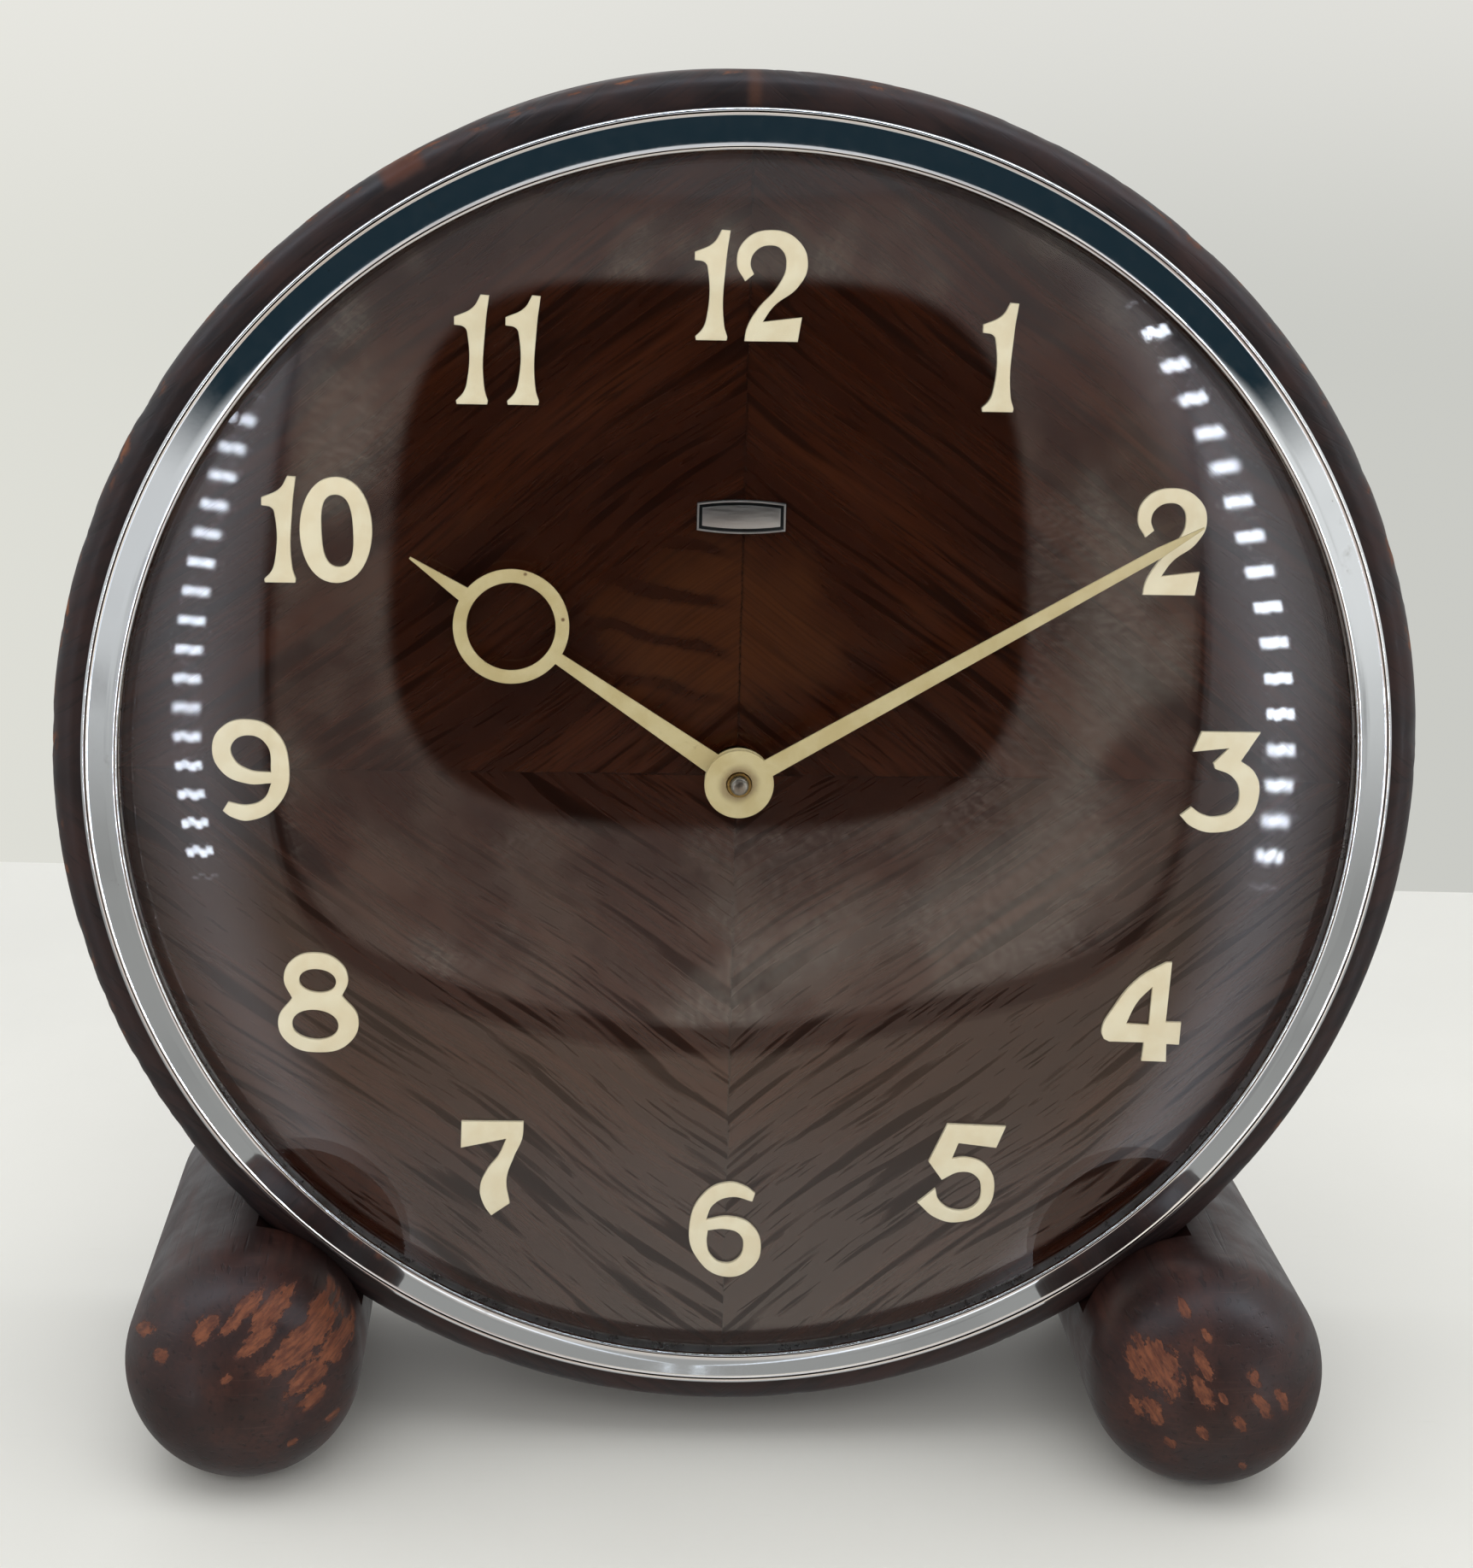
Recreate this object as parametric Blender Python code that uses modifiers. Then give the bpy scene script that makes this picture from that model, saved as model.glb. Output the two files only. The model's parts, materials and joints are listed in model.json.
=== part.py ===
"""Mantel clock: a round veneered wooden case on two dowel feet, with a spring-wound movement behind its dial.

Sizes are in metres. In the world, X is right, Y is back and Z is up, the dial faces -Y, and the clock stands
on Z = 0. Every piece hangs from the empty clock_axis, at the centre of the dial, whose own axes are x right,
y up and z forward, so that a depth behind the dial is a negative z.
"""

from math import asin, atan2, cos, hypot, pi, radians, sin, sqrt

import bmesh
import bpy
from mathutils import Matrix, Vector

MM = 0.001
SIDES = 48  # facets of the large round pieces
GAP = 0.3 * MM  # left between pieces that bear on each other
THIN_GAP = 0.15 * MM  # left behind the small pieces glued to the dial
FILL_TURN = 0.37
SHARP = radians(50)  # edges sharper than this stay sharp when a piece is shaded

# Case
CASE_R = 100 * MM
PANEL_THICK = 8 * MM
PANEL_FLAT_R = 96.3 * MM
PANEL_EDGE_DEPTH = 4.2 * MM
PANEL_HOLE_R = 4.4 * MM
DRUM_R = 99.4 * MM
DRUM_INNER_R = 89.4 * MM
DRUM_BACK = -56 * MM
REBATE_R = 94.4 * MM
REBATE_DEPTH = 3.3 * MM
COVER_R = REBATE_R - 0.4 * MM
COVER_THICK = 2.5 * MM
COVER_SCREW_AT = 91.9 * MM
COVER_SCREW_ANGLES = (90, 210, 330)

# Feet
FOOT_R = 17.65 * MM
FOOT_X = 72 * MM
FOOT_DROP = 88.6 * MM  # of the foot's axis below the dial's centre
FOOT_DOME_AT = 8 * MM  # where the domed end starts, forward of the dial
FOOT_FLAT = 0.4 * MM  # planed off underneath
FOOT_CHAMFER = 1 * MM
FOOT_SCREWS_AT = (-14 * MM, -44 * MM)

# Bezel and glass
BEZEL_R = 95 * MM
LIP_R = 89.3 * MM
GLASS_R = 90.8 * MM
GLASS_CURVE_R = 247 * MM
GLASS_RIM_AT = 3.7 * MM  # of the outer face, where it meets the bezel's lip
GLASS_THICK = 1.6 * MM

# Dial furniture and hands
DIGIT_THICK = 0.8 * MM
DIGIT_RING_R = 70.6 * MM
BADGE_HALF = (6.35 * MM, 2 * MM)
BADGE_BULGE = 0.45 * MM
BADGE_UP = 38 * MM
HAND_THICK = 0.5 * MM
HOUR_HAND_AT = 3.3 * MM
MINUTE_HAND_AT = 5.3 * MM
HOUR_HAND_ANGLE = radians(304)
MINUTE_HAND_ANGLE = radians(59.5)

# Movement
PLATE_HALF_WIDTH = 42 * MM
PLATE_TOP = 41 * MM
PLATE_BOTTOM = -55 * MM
PLATE_CORNER = 6 * MM
PLATE_THICK = 1.5 * MM
FRONT_PLATE_AT = -16 * MM  # front face
BACK_PLATE_AT = -39 * MM
ARBOR_R = 1.3 * MM
PIVOT_R = 0.8 * MM
PIVOT_HOLE_R = 0.92 * MM
WHEEL_TEETH = 48
PINION_LEAVES = 8
CENTRE_MODULE = 1 * MM
THIRD_MODULE = 0.75 * MM
FOURTH_MODULE = 0.6 * MM
ESCAPE_MODULE = 0.5 * MM
CANNON_LEAVES = 12
MINUTE_WHEEL_TEETH = 36
MINUTE_PINION_LEAVES = 10
HOUR_WHEEL_TEETH = 40
CANNON_MODULE = 0.5 * MM
MOTION_TEETH = CANNON_LEAVES + MINUTE_WHEEL_TEETH
HOUR_MODULE = CANNON_MODULE * MOTION_TEETH / (MINUTE_PINION_LEAVES + HOUR_WHEEL_TEETH)
RATCHET_R = 7 * MM
BALANCE_R = 10.8 * MM
KEY_BACK = -68 * MM

AXIS_HEIGHT = FOOT_DROP + FOOT_R - FOOT_FLAT
FRONT_REACH = FOOT_DOME_AT + FOOT_R
AXIS_Y = -(-KEY_BACK - FRONT_REACH) / 2

# Each glyph is a list of outlines; each outline is a list of (x mm, y mm, corner or curve).
CORNER, CURVE = "VECTOR", "AUTO"
GLYPHS = {
    "0": [
        [(5.15, 15.2, CURVE), (0.0, 7.6, CURVE), (5.15, 0.0, CURVE), (10.3, 7.6, CURVE)],
        [(5.0, 12.7, CURVE), (3.1, 7.7, CURVE), (5.6, 2.3, CURVE), (7.6, 7.4, CURVE)],
    ],
    "1": [[
        (3.8, 15.3, CORNER), (2.7, 13.5, CURVE), (0.1, 12.2, CORNER), (0.1, 11.1, CORNER),
        (1.6, 10.7, CURVE), (2.0, 9.6, CURVE), (1.9, 3.0, CURVE), (1.4, 1.6, CURVE), (0.4, 0.5, CORNER),
        (0.5, 0.0, CORNER), (4.8, 0.0, CORNER), (4.9, 0.5, CORNER), (4.4, 2.2, CURVE), (4.5, 11.0, CURVE),
        (5.0, 15.2, CORNER),
    ]],
    "2": [[
        (1.3, 8.4, CORNER), (0.1, 10.8, CURVE), (1.1, 14.0, CURVE), (4.7, 15.5, CURVE), (8.6, 14.1, CURVE),
        (10.0, 10.7, CURVE), (8.7, 7.7, CURVE), (5.4, 5.0, CURVE), (3.9, 2.8, CORNER), (9.4, 3.5, CORNER),
        (8.9, 0.1, CORNER), (1.4, 0.1, CORNER), (1.7, 1.9, CURVE), (3.1, 4.5, CURVE), (5.9, 7.8, CURVE),
        (7.0, 10.7, CURVE), (6.3, 12.8, CURVE), (4.7, 13.4, CURVE), (2.7, 12.6, CURVE), (2.0, 10.9, CURVE),
        (2.5, 9.4, CORNER),
    ]],
    "3": [[
        (2.4, 15.1, CORNER), (1.3, 12.1, CORNER), (6.6, 12.7, CORNER), (4.4, 10.4, CORNER),
        (4.7, 9.6, CORNER), (7.3, 8.4, CURVE), (8.5, 6.0, CURVE), (7.8, 3.5, CURVE), (5.4, 2.4, CURVE),
        (3.3, 2.7, CURVE), (1.6, 3.8, CORNER), (0.0, 2.5, CORNER), (1.7, 0.9, CURVE), (5.4, 0.0, CURVE),
        (9.7, 1.7, CURVE), (11.4, 6.0, CURVE), (10.6, 9.0, CURVE), (8.4, 10.8, CORNER), (11.0, 15.1, CORNER),
    ]],
    "4": [
        [
            (10.0, 15.5, CORNER), (9.2, 15.5, CORNER), (5.2, 13.0, CURVE), (1.7, 8.4, CURVE),
            (0.1, 4.6, CURVE), (0.5, 3.5, CORNER), (1.3, 3.1, CORNER), (6.5, 3.0, CORNER), (6.3, 0.1, CORNER),
            (10.0, 0.0, CORNER), (9.9, 2.8, CORNER), (11.8, 2.7, CORNER), (11.9, 6.2, CORNER),
            (9.6, 6.2, CORNER),
        ],
        [(7.3, 11.7, CORNER), (7.1, 5.7, CORNER), (3.7, 5.9, CORNER), (5.2, 9.3, CURVE)],
    ],
    "5": [[
        (4.0, 15.7, CORNER), (1.4, 9.7, CORNER), (3.5, 6.8, CORNER), (6.4, 8.1, CURVE), (8.7, 7.4, CURVE),
        (9.5, 5.2, CURVE), (8.8, 2.9, CURVE), (6.1, 1.9, CURVE), (3.3, 3.4, CURVE), (2.6, 5.4, CORNER),
        (0.0, 3.1, CORNER), (2.8, 0.7, CURVE), (6.3, 0.0, CURVE), (10.2, 1.9, CURVE), (11.5, 5.8, CURVE),
        (10.3, 9.0, CURVE), (7.2, 10.4, CURVE), (4.9, 10.2, CORNER), (5.8, 12.7, CORNER),
        (11.5, 12.0, CORNER), (12.8, 15.4, CORNER),
    ]],
    "6": [
        [
            (9.8, 13.5, CORNER), (8.3, 14.6, CURVE), (5.6, 15.2, CURVE), (2.1, 13.4, CURVE),
            (0.0, 8.3, CURVE), (1.1, 3.2, CURVE), (5.5, 0.0, CURVE), (9.6, 1.5, CURVE), (10.9, 4.8, CURVE),
            (9.5, 8.3, CURVE), (6.2, 9.7, CURVE), (2.5, 9.2, CORNER), (3.5, 11.6, CURVE), (6.2, 12.9, CURVE),
            (9.4, 12.2, CORNER),
        ],
        [
            (2.8, 7.5, CORNER), (2.7, 5.5, CURVE), (3.4, 3.4, CURVE), (5.3, 2.2, CURVE), (7.3, 2.8, CURVE),
            (8.2, 5.0, CURVE), (7.6, 6.9, CURVE), (5.5, 7.7, CURVE),
        ],
    ],
    "7": [[
        (0.2, 15.0, CORNER), (0.1, 10.8, CORNER), (6.9, 12.3, CORNER), (5.8, 9.7, CURVE), (4.0, 7.2, CURVE),
        (3.0, 4.4, CURVE), (3.5, 1.9, CURVE), (4.7, 0.0, CORNER), (7.5, 2.0, CORNER), (7.0, 5.8, CURVE),
        (8.1, 9.5, CURVE), (9.3, 12.4, CURVE), (9.5, 15.0, CORNER),
    ]],
    "8": [
        [
            (5.6, 15.4, CURVE), (2.2, 14.3, CURVE), (0.9, 11.5, CURVE), (2.1, 8.4, CORNER),
            (0.0, 4.9, CURVE), (1.5, 1.4, CURVE), (6.1, 0.0, CURVE), (10.4, 1.4, CURVE), (11.9, 5.2, CURVE),
            (9.5, 8.8, CORNER), (10.4, 11.4, CURVE), (9.1, 14.1, CURVE),
        ],
        [(6.1, 12.9, CURVE), (3.2, 11.4, CURVE), (5.7, 9.3, CURVE), (8.6, 10.8, CURVE)],
        [(5.7, 6.6, CURVE), (2.1, 4.6, CURVE), (5.3, 2.0, CURVE), (8.9, 4.0, CURVE)],
    ],
    "9": [
        [
            (5.4, 15.0, CURVE), (1.5, 13.9, CURVE), (0.0, 10.9, CURVE), (1.4, 7.2, CURVE), (5.0, 5.5, CURVE),
            (8.5, 5.6, CORNER), (7.4, 3.3, CURVE), (5.1, 2.3, CURVE), (2.2, 2.7, CORNER), (1.4, 1.4, CORNER),
            (2.6, 0.5, CURVE), (5.5, 0.0, CURVE), (9.9, 2.9, CURVE), (11.1, 8.2, CURVE), (9.2, 13.3, CURVE),
        ],
        [
            (5.4, 12.7, CURVE), (7.9, 11.3, CURVE), (8.5, 7.2, CORNER), (5.2, 7.6, CURVE),
            (3.1, 9.2, CURVE), (2.9, 11.4, CURVE),
        ],
    ],
}
# (digit, hour, sideways shift in mm) for every digit piece; the name says the hour and the place in it.
DIAL_DIGITS = [(str(hour), hour, 0, f"digit_{hour}") for hour in range(1, 10)] + [
    ("1", 10, -5.0, "digit_10_one"),
    ("0", 10, 3.1, "digit_10_zero"),
    ("1", 11, -3.6, "digit_11_left"),
    ("1", 11, 3.6, "digit_11_right"),
    ("1", 12, -5.4, "digit_12_one"),
    ("2", 12, 3.0, "digit_12_two"),
]

MATERIALS = {
    # name: (colour, roughness, metallic)
    "veneer": ((0.10, 0.035, 0.015, 1), 0.35, 0),
    "stained_wood": ((0.07, 0.025, 0.015, 1), 0.45, 0),
    "board": ((0.30, 0.20, 0.12, 1), 0.8, 0),
    "chrome": ((0.80, 0.80, 0.80, 1), 0.12, 1),
    "glass": ((0.90, 0.93, 0.93, 1), 0.05, 0),
    "ivory": ((0.80, 0.74, 0.60, 1), 0.5, 0),
    "hand_paint": ((0.80, 0.72, 0.50, 1), 0.45, 0),
    "badge_silver": ((0.60, 0.62, 0.64, 1), 0.3, 1),
    "brass": ((0.70, 0.52, 0.22, 1), 0.35, 1),
    "steel": ((0.50, 0.50, 0.52, 1), 0.35, 1),
    "blued_steel": ((0.12, 0.14, 0.22, 1), 0.3, 1),
}


# ---- scene and helpers ----


def clear_scene():
    for obj in list(bpy.data.objects):
        bpy.data.objects.remove(obj, do_unlink=True)


def new_collection(name):
    made = bpy.data.collections.new(name)
    bpy.context.scene.collection.children.link(made)
    return made


def material(name):
    made = bpy.data.materials.get(name)
    if made:
        return made
    colour, roughness, metallic = MATERIALS[name]
    made = bpy.data.materials.new(name)
    made.use_nodes = True
    shader = made.node_tree.nodes["Principled BSDF"]
    shader.inputs["Base Color"].default_value = colour
    shader.inputs["Roughness"].default_value = roughness
    shader.inputs["Metallic"].default_value = metallic
    return made


def settle(obj, name, look, location=(0, 0, 0), turn=0.0, parent=None):
    """Names a piece, gives it its material and hangs it from the clock's axis."""
    obj.name = name
    obj.data.name = name
    obj.data.materials.append(material(look))
    obj.parent = parent or CLOCK_AXIS
    obj.location = location
    obj.rotation_euler = (0, 0, turn)
    PARTS.objects.link(obj)
    return obj


def to_cutter(obj):
    """Makes a piece a hidden helper for a Boolean."""
    for holder in list(obj.users_collection):
        holder.objects.unlink(obj)
    CUTTERS.objects.link(obj)
    obj.hide_render = True
    obj.display_type = "WIRE"
    return obj


def boolean(obj, other, operation):
    step = obj.modifiers.new(operation.lower(), "BOOLEAN")
    step.operation = operation
    step.solver = "EXACT"
    step.object = to_cutter(other)
    return obj


def turned(name, look, profile, location=(0, 0, 0), sides=SIDES, turn=0.0):
    """A turned piece. The profile's (radius, forward) points run down its outer side, front to back."""
    mesh = bpy.data.meshes.new(name)
    points = [(radius, 0, forward) for radius, forward in profile]
    edges = [(i, i + 1) for i in range(len(points) - 1)]
    if profile[0][0] > 0:
        edges.append((len(points) - 1, 0))
    mesh.from_pydata(points, edges, [])
    obj = bpy.data.objects.new(name, mesh)
    screw = obj.modifiers.new("turn", "SCREW")
    screw.axis = "Z"
    screw.steps = screw.render_steps = sides
    screw.use_merge_vertices = True
    screw.merge_threshold = 1e-6
    screw.use_smooth_shade = False
    return settle(obj, name, look, location, turn)


def rod(name, look, radius, back, front, x=0.0, y=0.0, sides=12):
    return turned(name, look, [(0, front), (radius, front), (radius, back), (0, back)], (x, y, 0), sides)


def tube(name, look, bore, radius, back, front, x=0.0, y=0.0, sides=12):
    profile = [(bore, front), (radius, front), (radius, back), (bore, back)]
    return turned(name, look, profile, (x, y, 0), sides)


def circle(radius, x=0.0, y=0.0, sides=16):
    angles = [2 * pi * i / sides for i in range(sides)]
    return [(x + radius * cos(a), y + radius * sin(a)) for a in angles]


def arc(radius, start, end, steps, x=0.0, y=0.0):
    angles = [start + (end - start) * i / steps for i in range(steps + 1)]
    return [(x + radius * cos(a), y + radius * sin(a)) for a in angles]


def oblong(width, height):
    return [(x * width / 2, y * height / 2) for x, y in ((-1, -1), (1, -1), (1, 1), (-1, 1))]


def flat(name, look, outlines, back, front, x=0.0, y=0.0, turn=0.0):
    """A flat mesh piece cut to the outlines, from the depth back to the depth front.

    The outlines are filled while turned by FILL_TURN, since the fill leaves slivers between level points.
    """
    level = cos(FILL_TURN), sin(FILL_TURN)
    curve = bpy.data.curves.new(name, "CURVE")
    curve.dimensions = "2D"
    curve.fill_mode = "BOTH"
    curve.extrude = (front - back) / 2
    curve.resolution_u = 2
    for outline in outlines:
        smooth = len(outline[0]) == 3
        spline = curve.splines.new("BEZIER" if smooth else "POLY")
        spline.use_cyclic_u = True
        points = spline.bezier_points if smooth else spline.points
        points.add(len(outline) - 1)
        for point, values in zip(points, outline):
            turned_x = values[0] * level[0] - values[1] * level[1]
            turned_y = values[0] * level[1] + values[1] * level[0]
            if smooth:
                point.co = (turned_x * MM, turned_y * MM, 0)
                point.handle_left_type = point.handle_right_type = values[2]
            else:
                point.co = (turned_x, turned_y, 0, 1)
    shape = bpy.data.objects.new(name, curve)
    bpy.context.scene.collection.objects.link(shape)
    evaluated = shape.evaluated_get(bpy.context.evaluated_depsgraph_get())
    mesh = bpy.data.meshes.new_from_object(evaluated)
    mesh.transform(Matrix.Rotation(-FILL_TURN, 4, "Z"))
    bpy.data.objects.remove(shape)
    work = bmesh.new()
    work.from_mesh(mesh)
    bmesh.ops.remove_doubles(work, verts=work.verts, dist=1e-7)
    bmesh.ops.recalc_face_normals(work, faces=work.faces)
    work.to_mesh(mesh)
    work.free()
    return settle(bpy.data.objects.new(name, mesh), name, look, (x, y, (front + back) / 2), turn)


def wheel_outline(teeth, module, phase, tip=0.9, root=1.2, root_share=0.33):
    """A toothed outline with a pointed tooth centred on the phase angle; root_share is its half width at the
    root over the pitch."""
    pitch = 2 * pi / teeth
    tip_r = module * (teeth / 2 + tip)
    root_r = module * (teeth / 2 - root)
    points = []
    for i in range(teeth):
        middle = phase + i * pitch
        for radius, share in ((root_r, -root_share), (tip_r, 0), (root_r, root_share)):
            points.append((radius * cos(middle + share * pitch), radius * sin(middle + share * pitch)))
    return points


def pinion_outline(leaves, module, towards_wheel):
    """A pinion's outline, with the gap between two leaves facing the wheel that it meshes with."""
    return wheel_outline(leaves, module, towards_wheel + pi / leaves, 0.8, 1.3, 0.24)


def windows(inner_r, outer_r, count=4, arm=2.2 * MM):
    """The openings between a wheel's arms, each with an arc outside and inside."""
    made = []
    for i in range(count):
        start = 2 * pi * i / count
        end = start + 2 * pi / count
        outer = arc(outer_r, start + asin(arm / 2 / outer_r), end - asin(arm / 2 / outer_r), 4)
        inner = arc(inner_r, end - asin(arm / 2 / inner_r), start + asin(arm / 2 / inner_r), 1)
        made.append(outer + inner)
    return made


def spiral(inner_r, outer_r, turns, steps_per_turn):
    """The middle line of a spiral that winds clockwise and ends at the right."""
    count = round(turns * steps_per_turn)
    angles = [2 * pi * (turns - turns * i / count) for i in range(count + 1)]
    radii = [inner_r + (outer_r - inner_r) * i / count for i in range(count + 1)]
    return [(radius * cos(angle), radius * sin(angle)) for radius, angle in zip(radii, angles)]


def strip(line, thick):
    """A closed outline round a strip that follows a line of points."""
    left, right = [], []
    for i, (x, y) in enumerate(line):
        before, after = line[max(i - 1, 0)], line[min(i + 1, len(line) - 1)]
        length = hypot(after[0] - before[0], after[1] - before[1])
        side_x, side_y = (before[1] - after[1]) / length, (after[0] - before[0]) / length
        left.append((x + side_x * thick / 2, y + side_y * thick / 2))
        right.append((x - side_x * thick / 2, y - side_y * thick / 2))
    return left + right[::-1]


def polar(distance, angle_deg, start=(0.0, 0.0)):
    return (start[0] + distance * cos(radians(angle_deg)), start[1] + distance * sin(radians(angle_deg)))


def mesh_distance(module, teeth=WHEEL_TEETH, leaves=PINION_LEAVES):
    return module * (teeth + leaves) / 2


def bearing(start, end):
    return atan2(end[1] - start[1], end[0] - start[0])


# Arbor places, as (x, y) from the centre arbor
CENTRE = (0.0, 0.0)
WINDING = polar(mesh_distance(CENTRE_MODULE), -90)
THIRD = polar(mesh_distance(THIRD_MODULE), 150)
FOURTH = polar(mesh_distance(FOURTH_MODULE), 60, THIRD)
ESCAPE = polar(mesh_distance(ESCAPE_MODULE), 0, FOURTH)
PALLET = polar(11.3 * MM, 0, ESCAPE)
BALANCE = polar(BALANCE_R + 1.2 * MM, -15, PALLET)
MINUTE_POST = polar(mesh_distance(CANNON_MODULE, MINUTE_WHEEL_TEETH, CANNON_LEAVES), -45)
PILLARS = [(-36 * MM, -49 * MM), (36 * MM, -49 * MM), (-36 * MM, 35 * MM), (36 * MM, 36 * MM)]
MOUNT_SCREWS = [(-37 * MM, -12 * MM), (37 * MM, -12 * MM)]


# ---- case ----


def make_front_panel():
    edge = [
        (PANEL_FLAT_R + (CASE_R - PANEL_FLAT_R) * sin(a), -PANEL_EDGE_DEPTH * (1 - cos(a)))
        for a in (pi / 2 * i / 3 for i in range(4))
    ]
    profile = [(PANEL_HOLE_R, 0), *edge, (CASE_R, -PANEL_THICK), (PANEL_HOLE_R, -PANEL_THICK)]
    panel = turned("front_panel", "veneer", profile)
    for x, y in MOUNT_SCREWS:
        boolean(panel, rod("panel_screw_hole", "steel", 1.5 * MM, -9 * MM, -3.5 * MM, x, y, 8), "DIFFERENCE")


def aim_at_foot(obj, side, z):
    """Lays a turned piece along the line from the case's axis to a foot's axis, at this depth."""
    direction = Vector((side * FOOT_X, -FOOT_DROP, 0)).normalized()
    obj.rotation_euler = direction.to_track_quat("Z", "Y").to_euler()
    obj.location = (0, 0, z)
    return obj


def screw_hole(start, end, side, z):
    """A cutter along the line to a foot, between two distances from the case's axis."""
    return aim_at_foot(rod("foot_screw_hole", "steel", 1.7 * MM, start, end, sides=8), side, z)


def make_case_drum():
    front = -PANEL_THICK - GAP
    profile = [
        (DRUM_INNER_R, front), (DRUM_R, front), (DRUM_R, DRUM_BACK), (REBATE_R, DRUM_BACK),
        (REBATE_R, DRUM_BACK + REBATE_DEPTH), (DRUM_INNER_R, DRUM_BACK + REBATE_DEPTH),
    ]
    drum = turned("case_drum", "stained_wood", profile)
    for angle in COVER_SCREW_ANGLES:
        x, y = polar(COVER_SCREW_AT, angle)
        hole = rod("cover_screw_hole", "steel", 1.2 * MM, DRUM_BACK - 1 * MM, -46 * MM, x, y, 8)
        boolean(drum, hole, "DIFFERENCE")
    for side in (-1, 1):
        for z in FOOT_SCREWS_AT:
            boolean(drum, screw_hole(85 * MM, 103 * MM, side, z), "DIFFERENCE")


def make_back_cover():
    outlines = [circle(COVER_R, sides=SIDES), circle(3 * MM), circle(5.2 * MM, *WINDING)]
    outlines += [circle(1.3 * MM, *polar(COVER_SCREW_AT, angle), sides=8) for angle in COVER_SCREW_ANGLES]
    slot_outer = arc(15.5 * MM, radians(60), radians(120), 6, *BALANCE)
    slot_inner = arc(10.5 * MM, radians(120), radians(60), 6, *BALANCE)
    outlines.append(slot_outer + slot_inner)
    front = DRUM_BACK + REBATE_DEPTH - GAP
    flat("back_cover", "board", outlines, front - COVER_THICK, front)


def make_cover_screws():
    seat = DRUM_BACK + REBATE_DEPTH - GAP - COVER_THICK - 0.1 * MM
    head = 1.3 * MM
    for number, angle in enumerate(COVER_SCREW_ANGLES, 1):
        x, y = polar(COVER_SCREW_AT, angle)
        profile = [
            (0, -47 * MM), (0.9 * MM, -48 * MM), (0.9 * MM, seat), (2 * MM, seat), (2 * MM, seat - 0.6 * head),
            (1.3 * MM, seat - head), (0, seat - head),
        ]
        turned(f"back_cover_screw_{number}", "steel", profile, (x, y, 0), sides=10)


def make_feet():
    dome = arc(FOOT_R, pi / 2, 0, 6)
    profile = [(max(r, 0), FOOT_DOME_AT + z) for r, z in dome]
    profile[0] = (0, FOOT_DOME_AT + FOOT_R)
    profile += [(FOOT_R, DRUM_BACK + FOOT_CHAMFER), (FOOT_R - FOOT_CHAMFER, DRUM_BACK), (0, DRUM_BACK)]
    for side, name in ((-1, "foot_left"), (1, "foot_right")):
        foot = turned(name, "stained_wood", profile, (side * FOOT_X, -FOOT_DROP, 0), sides=24)
        seat = rod("case_seat", "stained_wood", CASE_R + GAP, DRUM_BACK - 1 * MM, GAP, sides=SIDES)
        boolean(foot, seat, "DIFFERENCE")
        bottom = -FOOT_DROP - FOOT_R + FOOT_FLAT
        below = [oblong(60 * MM, 20 * MM)]
        planed = flat("planed_off", "steel", below, -80 * MM, 40 * MM, side * FOOT_X, bottom - 10 * MM)
        boolean(foot, planed, "DIFFERENCE")
        for z in FOOT_SCREWS_AT:
            boolean(foot, screw_hole(95 * MM, 113 * MM, side, z), "DIFFERENCE")


def make_foot_screws():
    """Wood screws from inside the drum into the feet, pointed end outwards."""
    head_at = DRUM_INNER_R - 0.5 * MM
    profile = [
        (0, 112 * MM), (1.3 * MM, 109 * MM), (1.3 * MM, head_at), (3 * MM, head_at),
        (2.6 * MM, head_at - 1.6 * MM), (0, head_at - 1.8 * MM),
    ]
    for side, name in ((-1, "left"), (1, "right")):
        for number, z in enumerate(FOOT_SCREWS_AT, 1):
            screw = turned(f"foot_screw_{name}_{number}", "steel", profile, sides=10)
            aim_at_foot(screw, side, z)


def glass_forward(radius):
    """Forward place of the glass's outer face at this radius."""
    return GLASS_RIM_AT + sqrt(GLASS_CURVE_R**2 - radius**2) - sqrt(GLASS_CURVE_R**2 - LIP_R**2)


def make_bezel():
    profile = [
        (LIP_R, 4.8 * MM), (LIP_R + 0.9 * MM, 4.8 * MM), (93.8 * MM, 2.6 * MM), (94.6 * MM, 3 * MM),
        (BEZEL_R, 2.2 * MM), (BEZEL_R, GAP), (94.2 * MM, GAP), (94.2 * MM, 1.5 * MM), (91.3 * MM, 3.3 * MM),
        (LIP_R, 4.1 * MM),
    ]
    turned("bezel", "chrome", profile)


def make_glass():
    radii = [GLASS_R * i / 4 for i in range(5)]
    outer = [(r, glass_forward(r)) for r in radii]
    inner = [(r * (1 - GLASS_THICK / GLASS_CURVE_R), glass_forward(r) - GLASS_THICK) for r in radii]
    turned("glass", "glass", outer + inner[::-1])


def make_glass_ring():
    tube("glass_ring", "steel", 89.6 * MM, 93.6 * MM, GAP, 0.9 * MM, sides=SIDES)


# ---- dial furniture ----


def make_digits():
    for digit, hour, shift, name in DIAL_DIGITS:
        outlines = GLYPHS[digit]
        xs = [x for x, _, _ in outlines[0]]
        ys = [y for _, y, _ in outlines[0]]
        middle_x, middle_y = (min(xs) + max(xs)) / 2, (min(ys) + max(ys)) / 2
        centred = [[(x - middle_x, y - middle_y, kind) for x, y, kind in ring] for ring in outlines]
        x, y = polar(DIGIT_RING_R, 90 - 30 * hour)
        flat(name, "ivory", centred, THIN_GAP, THIN_GAP + DIGIT_THICK, x + shift * MM, y)


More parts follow.
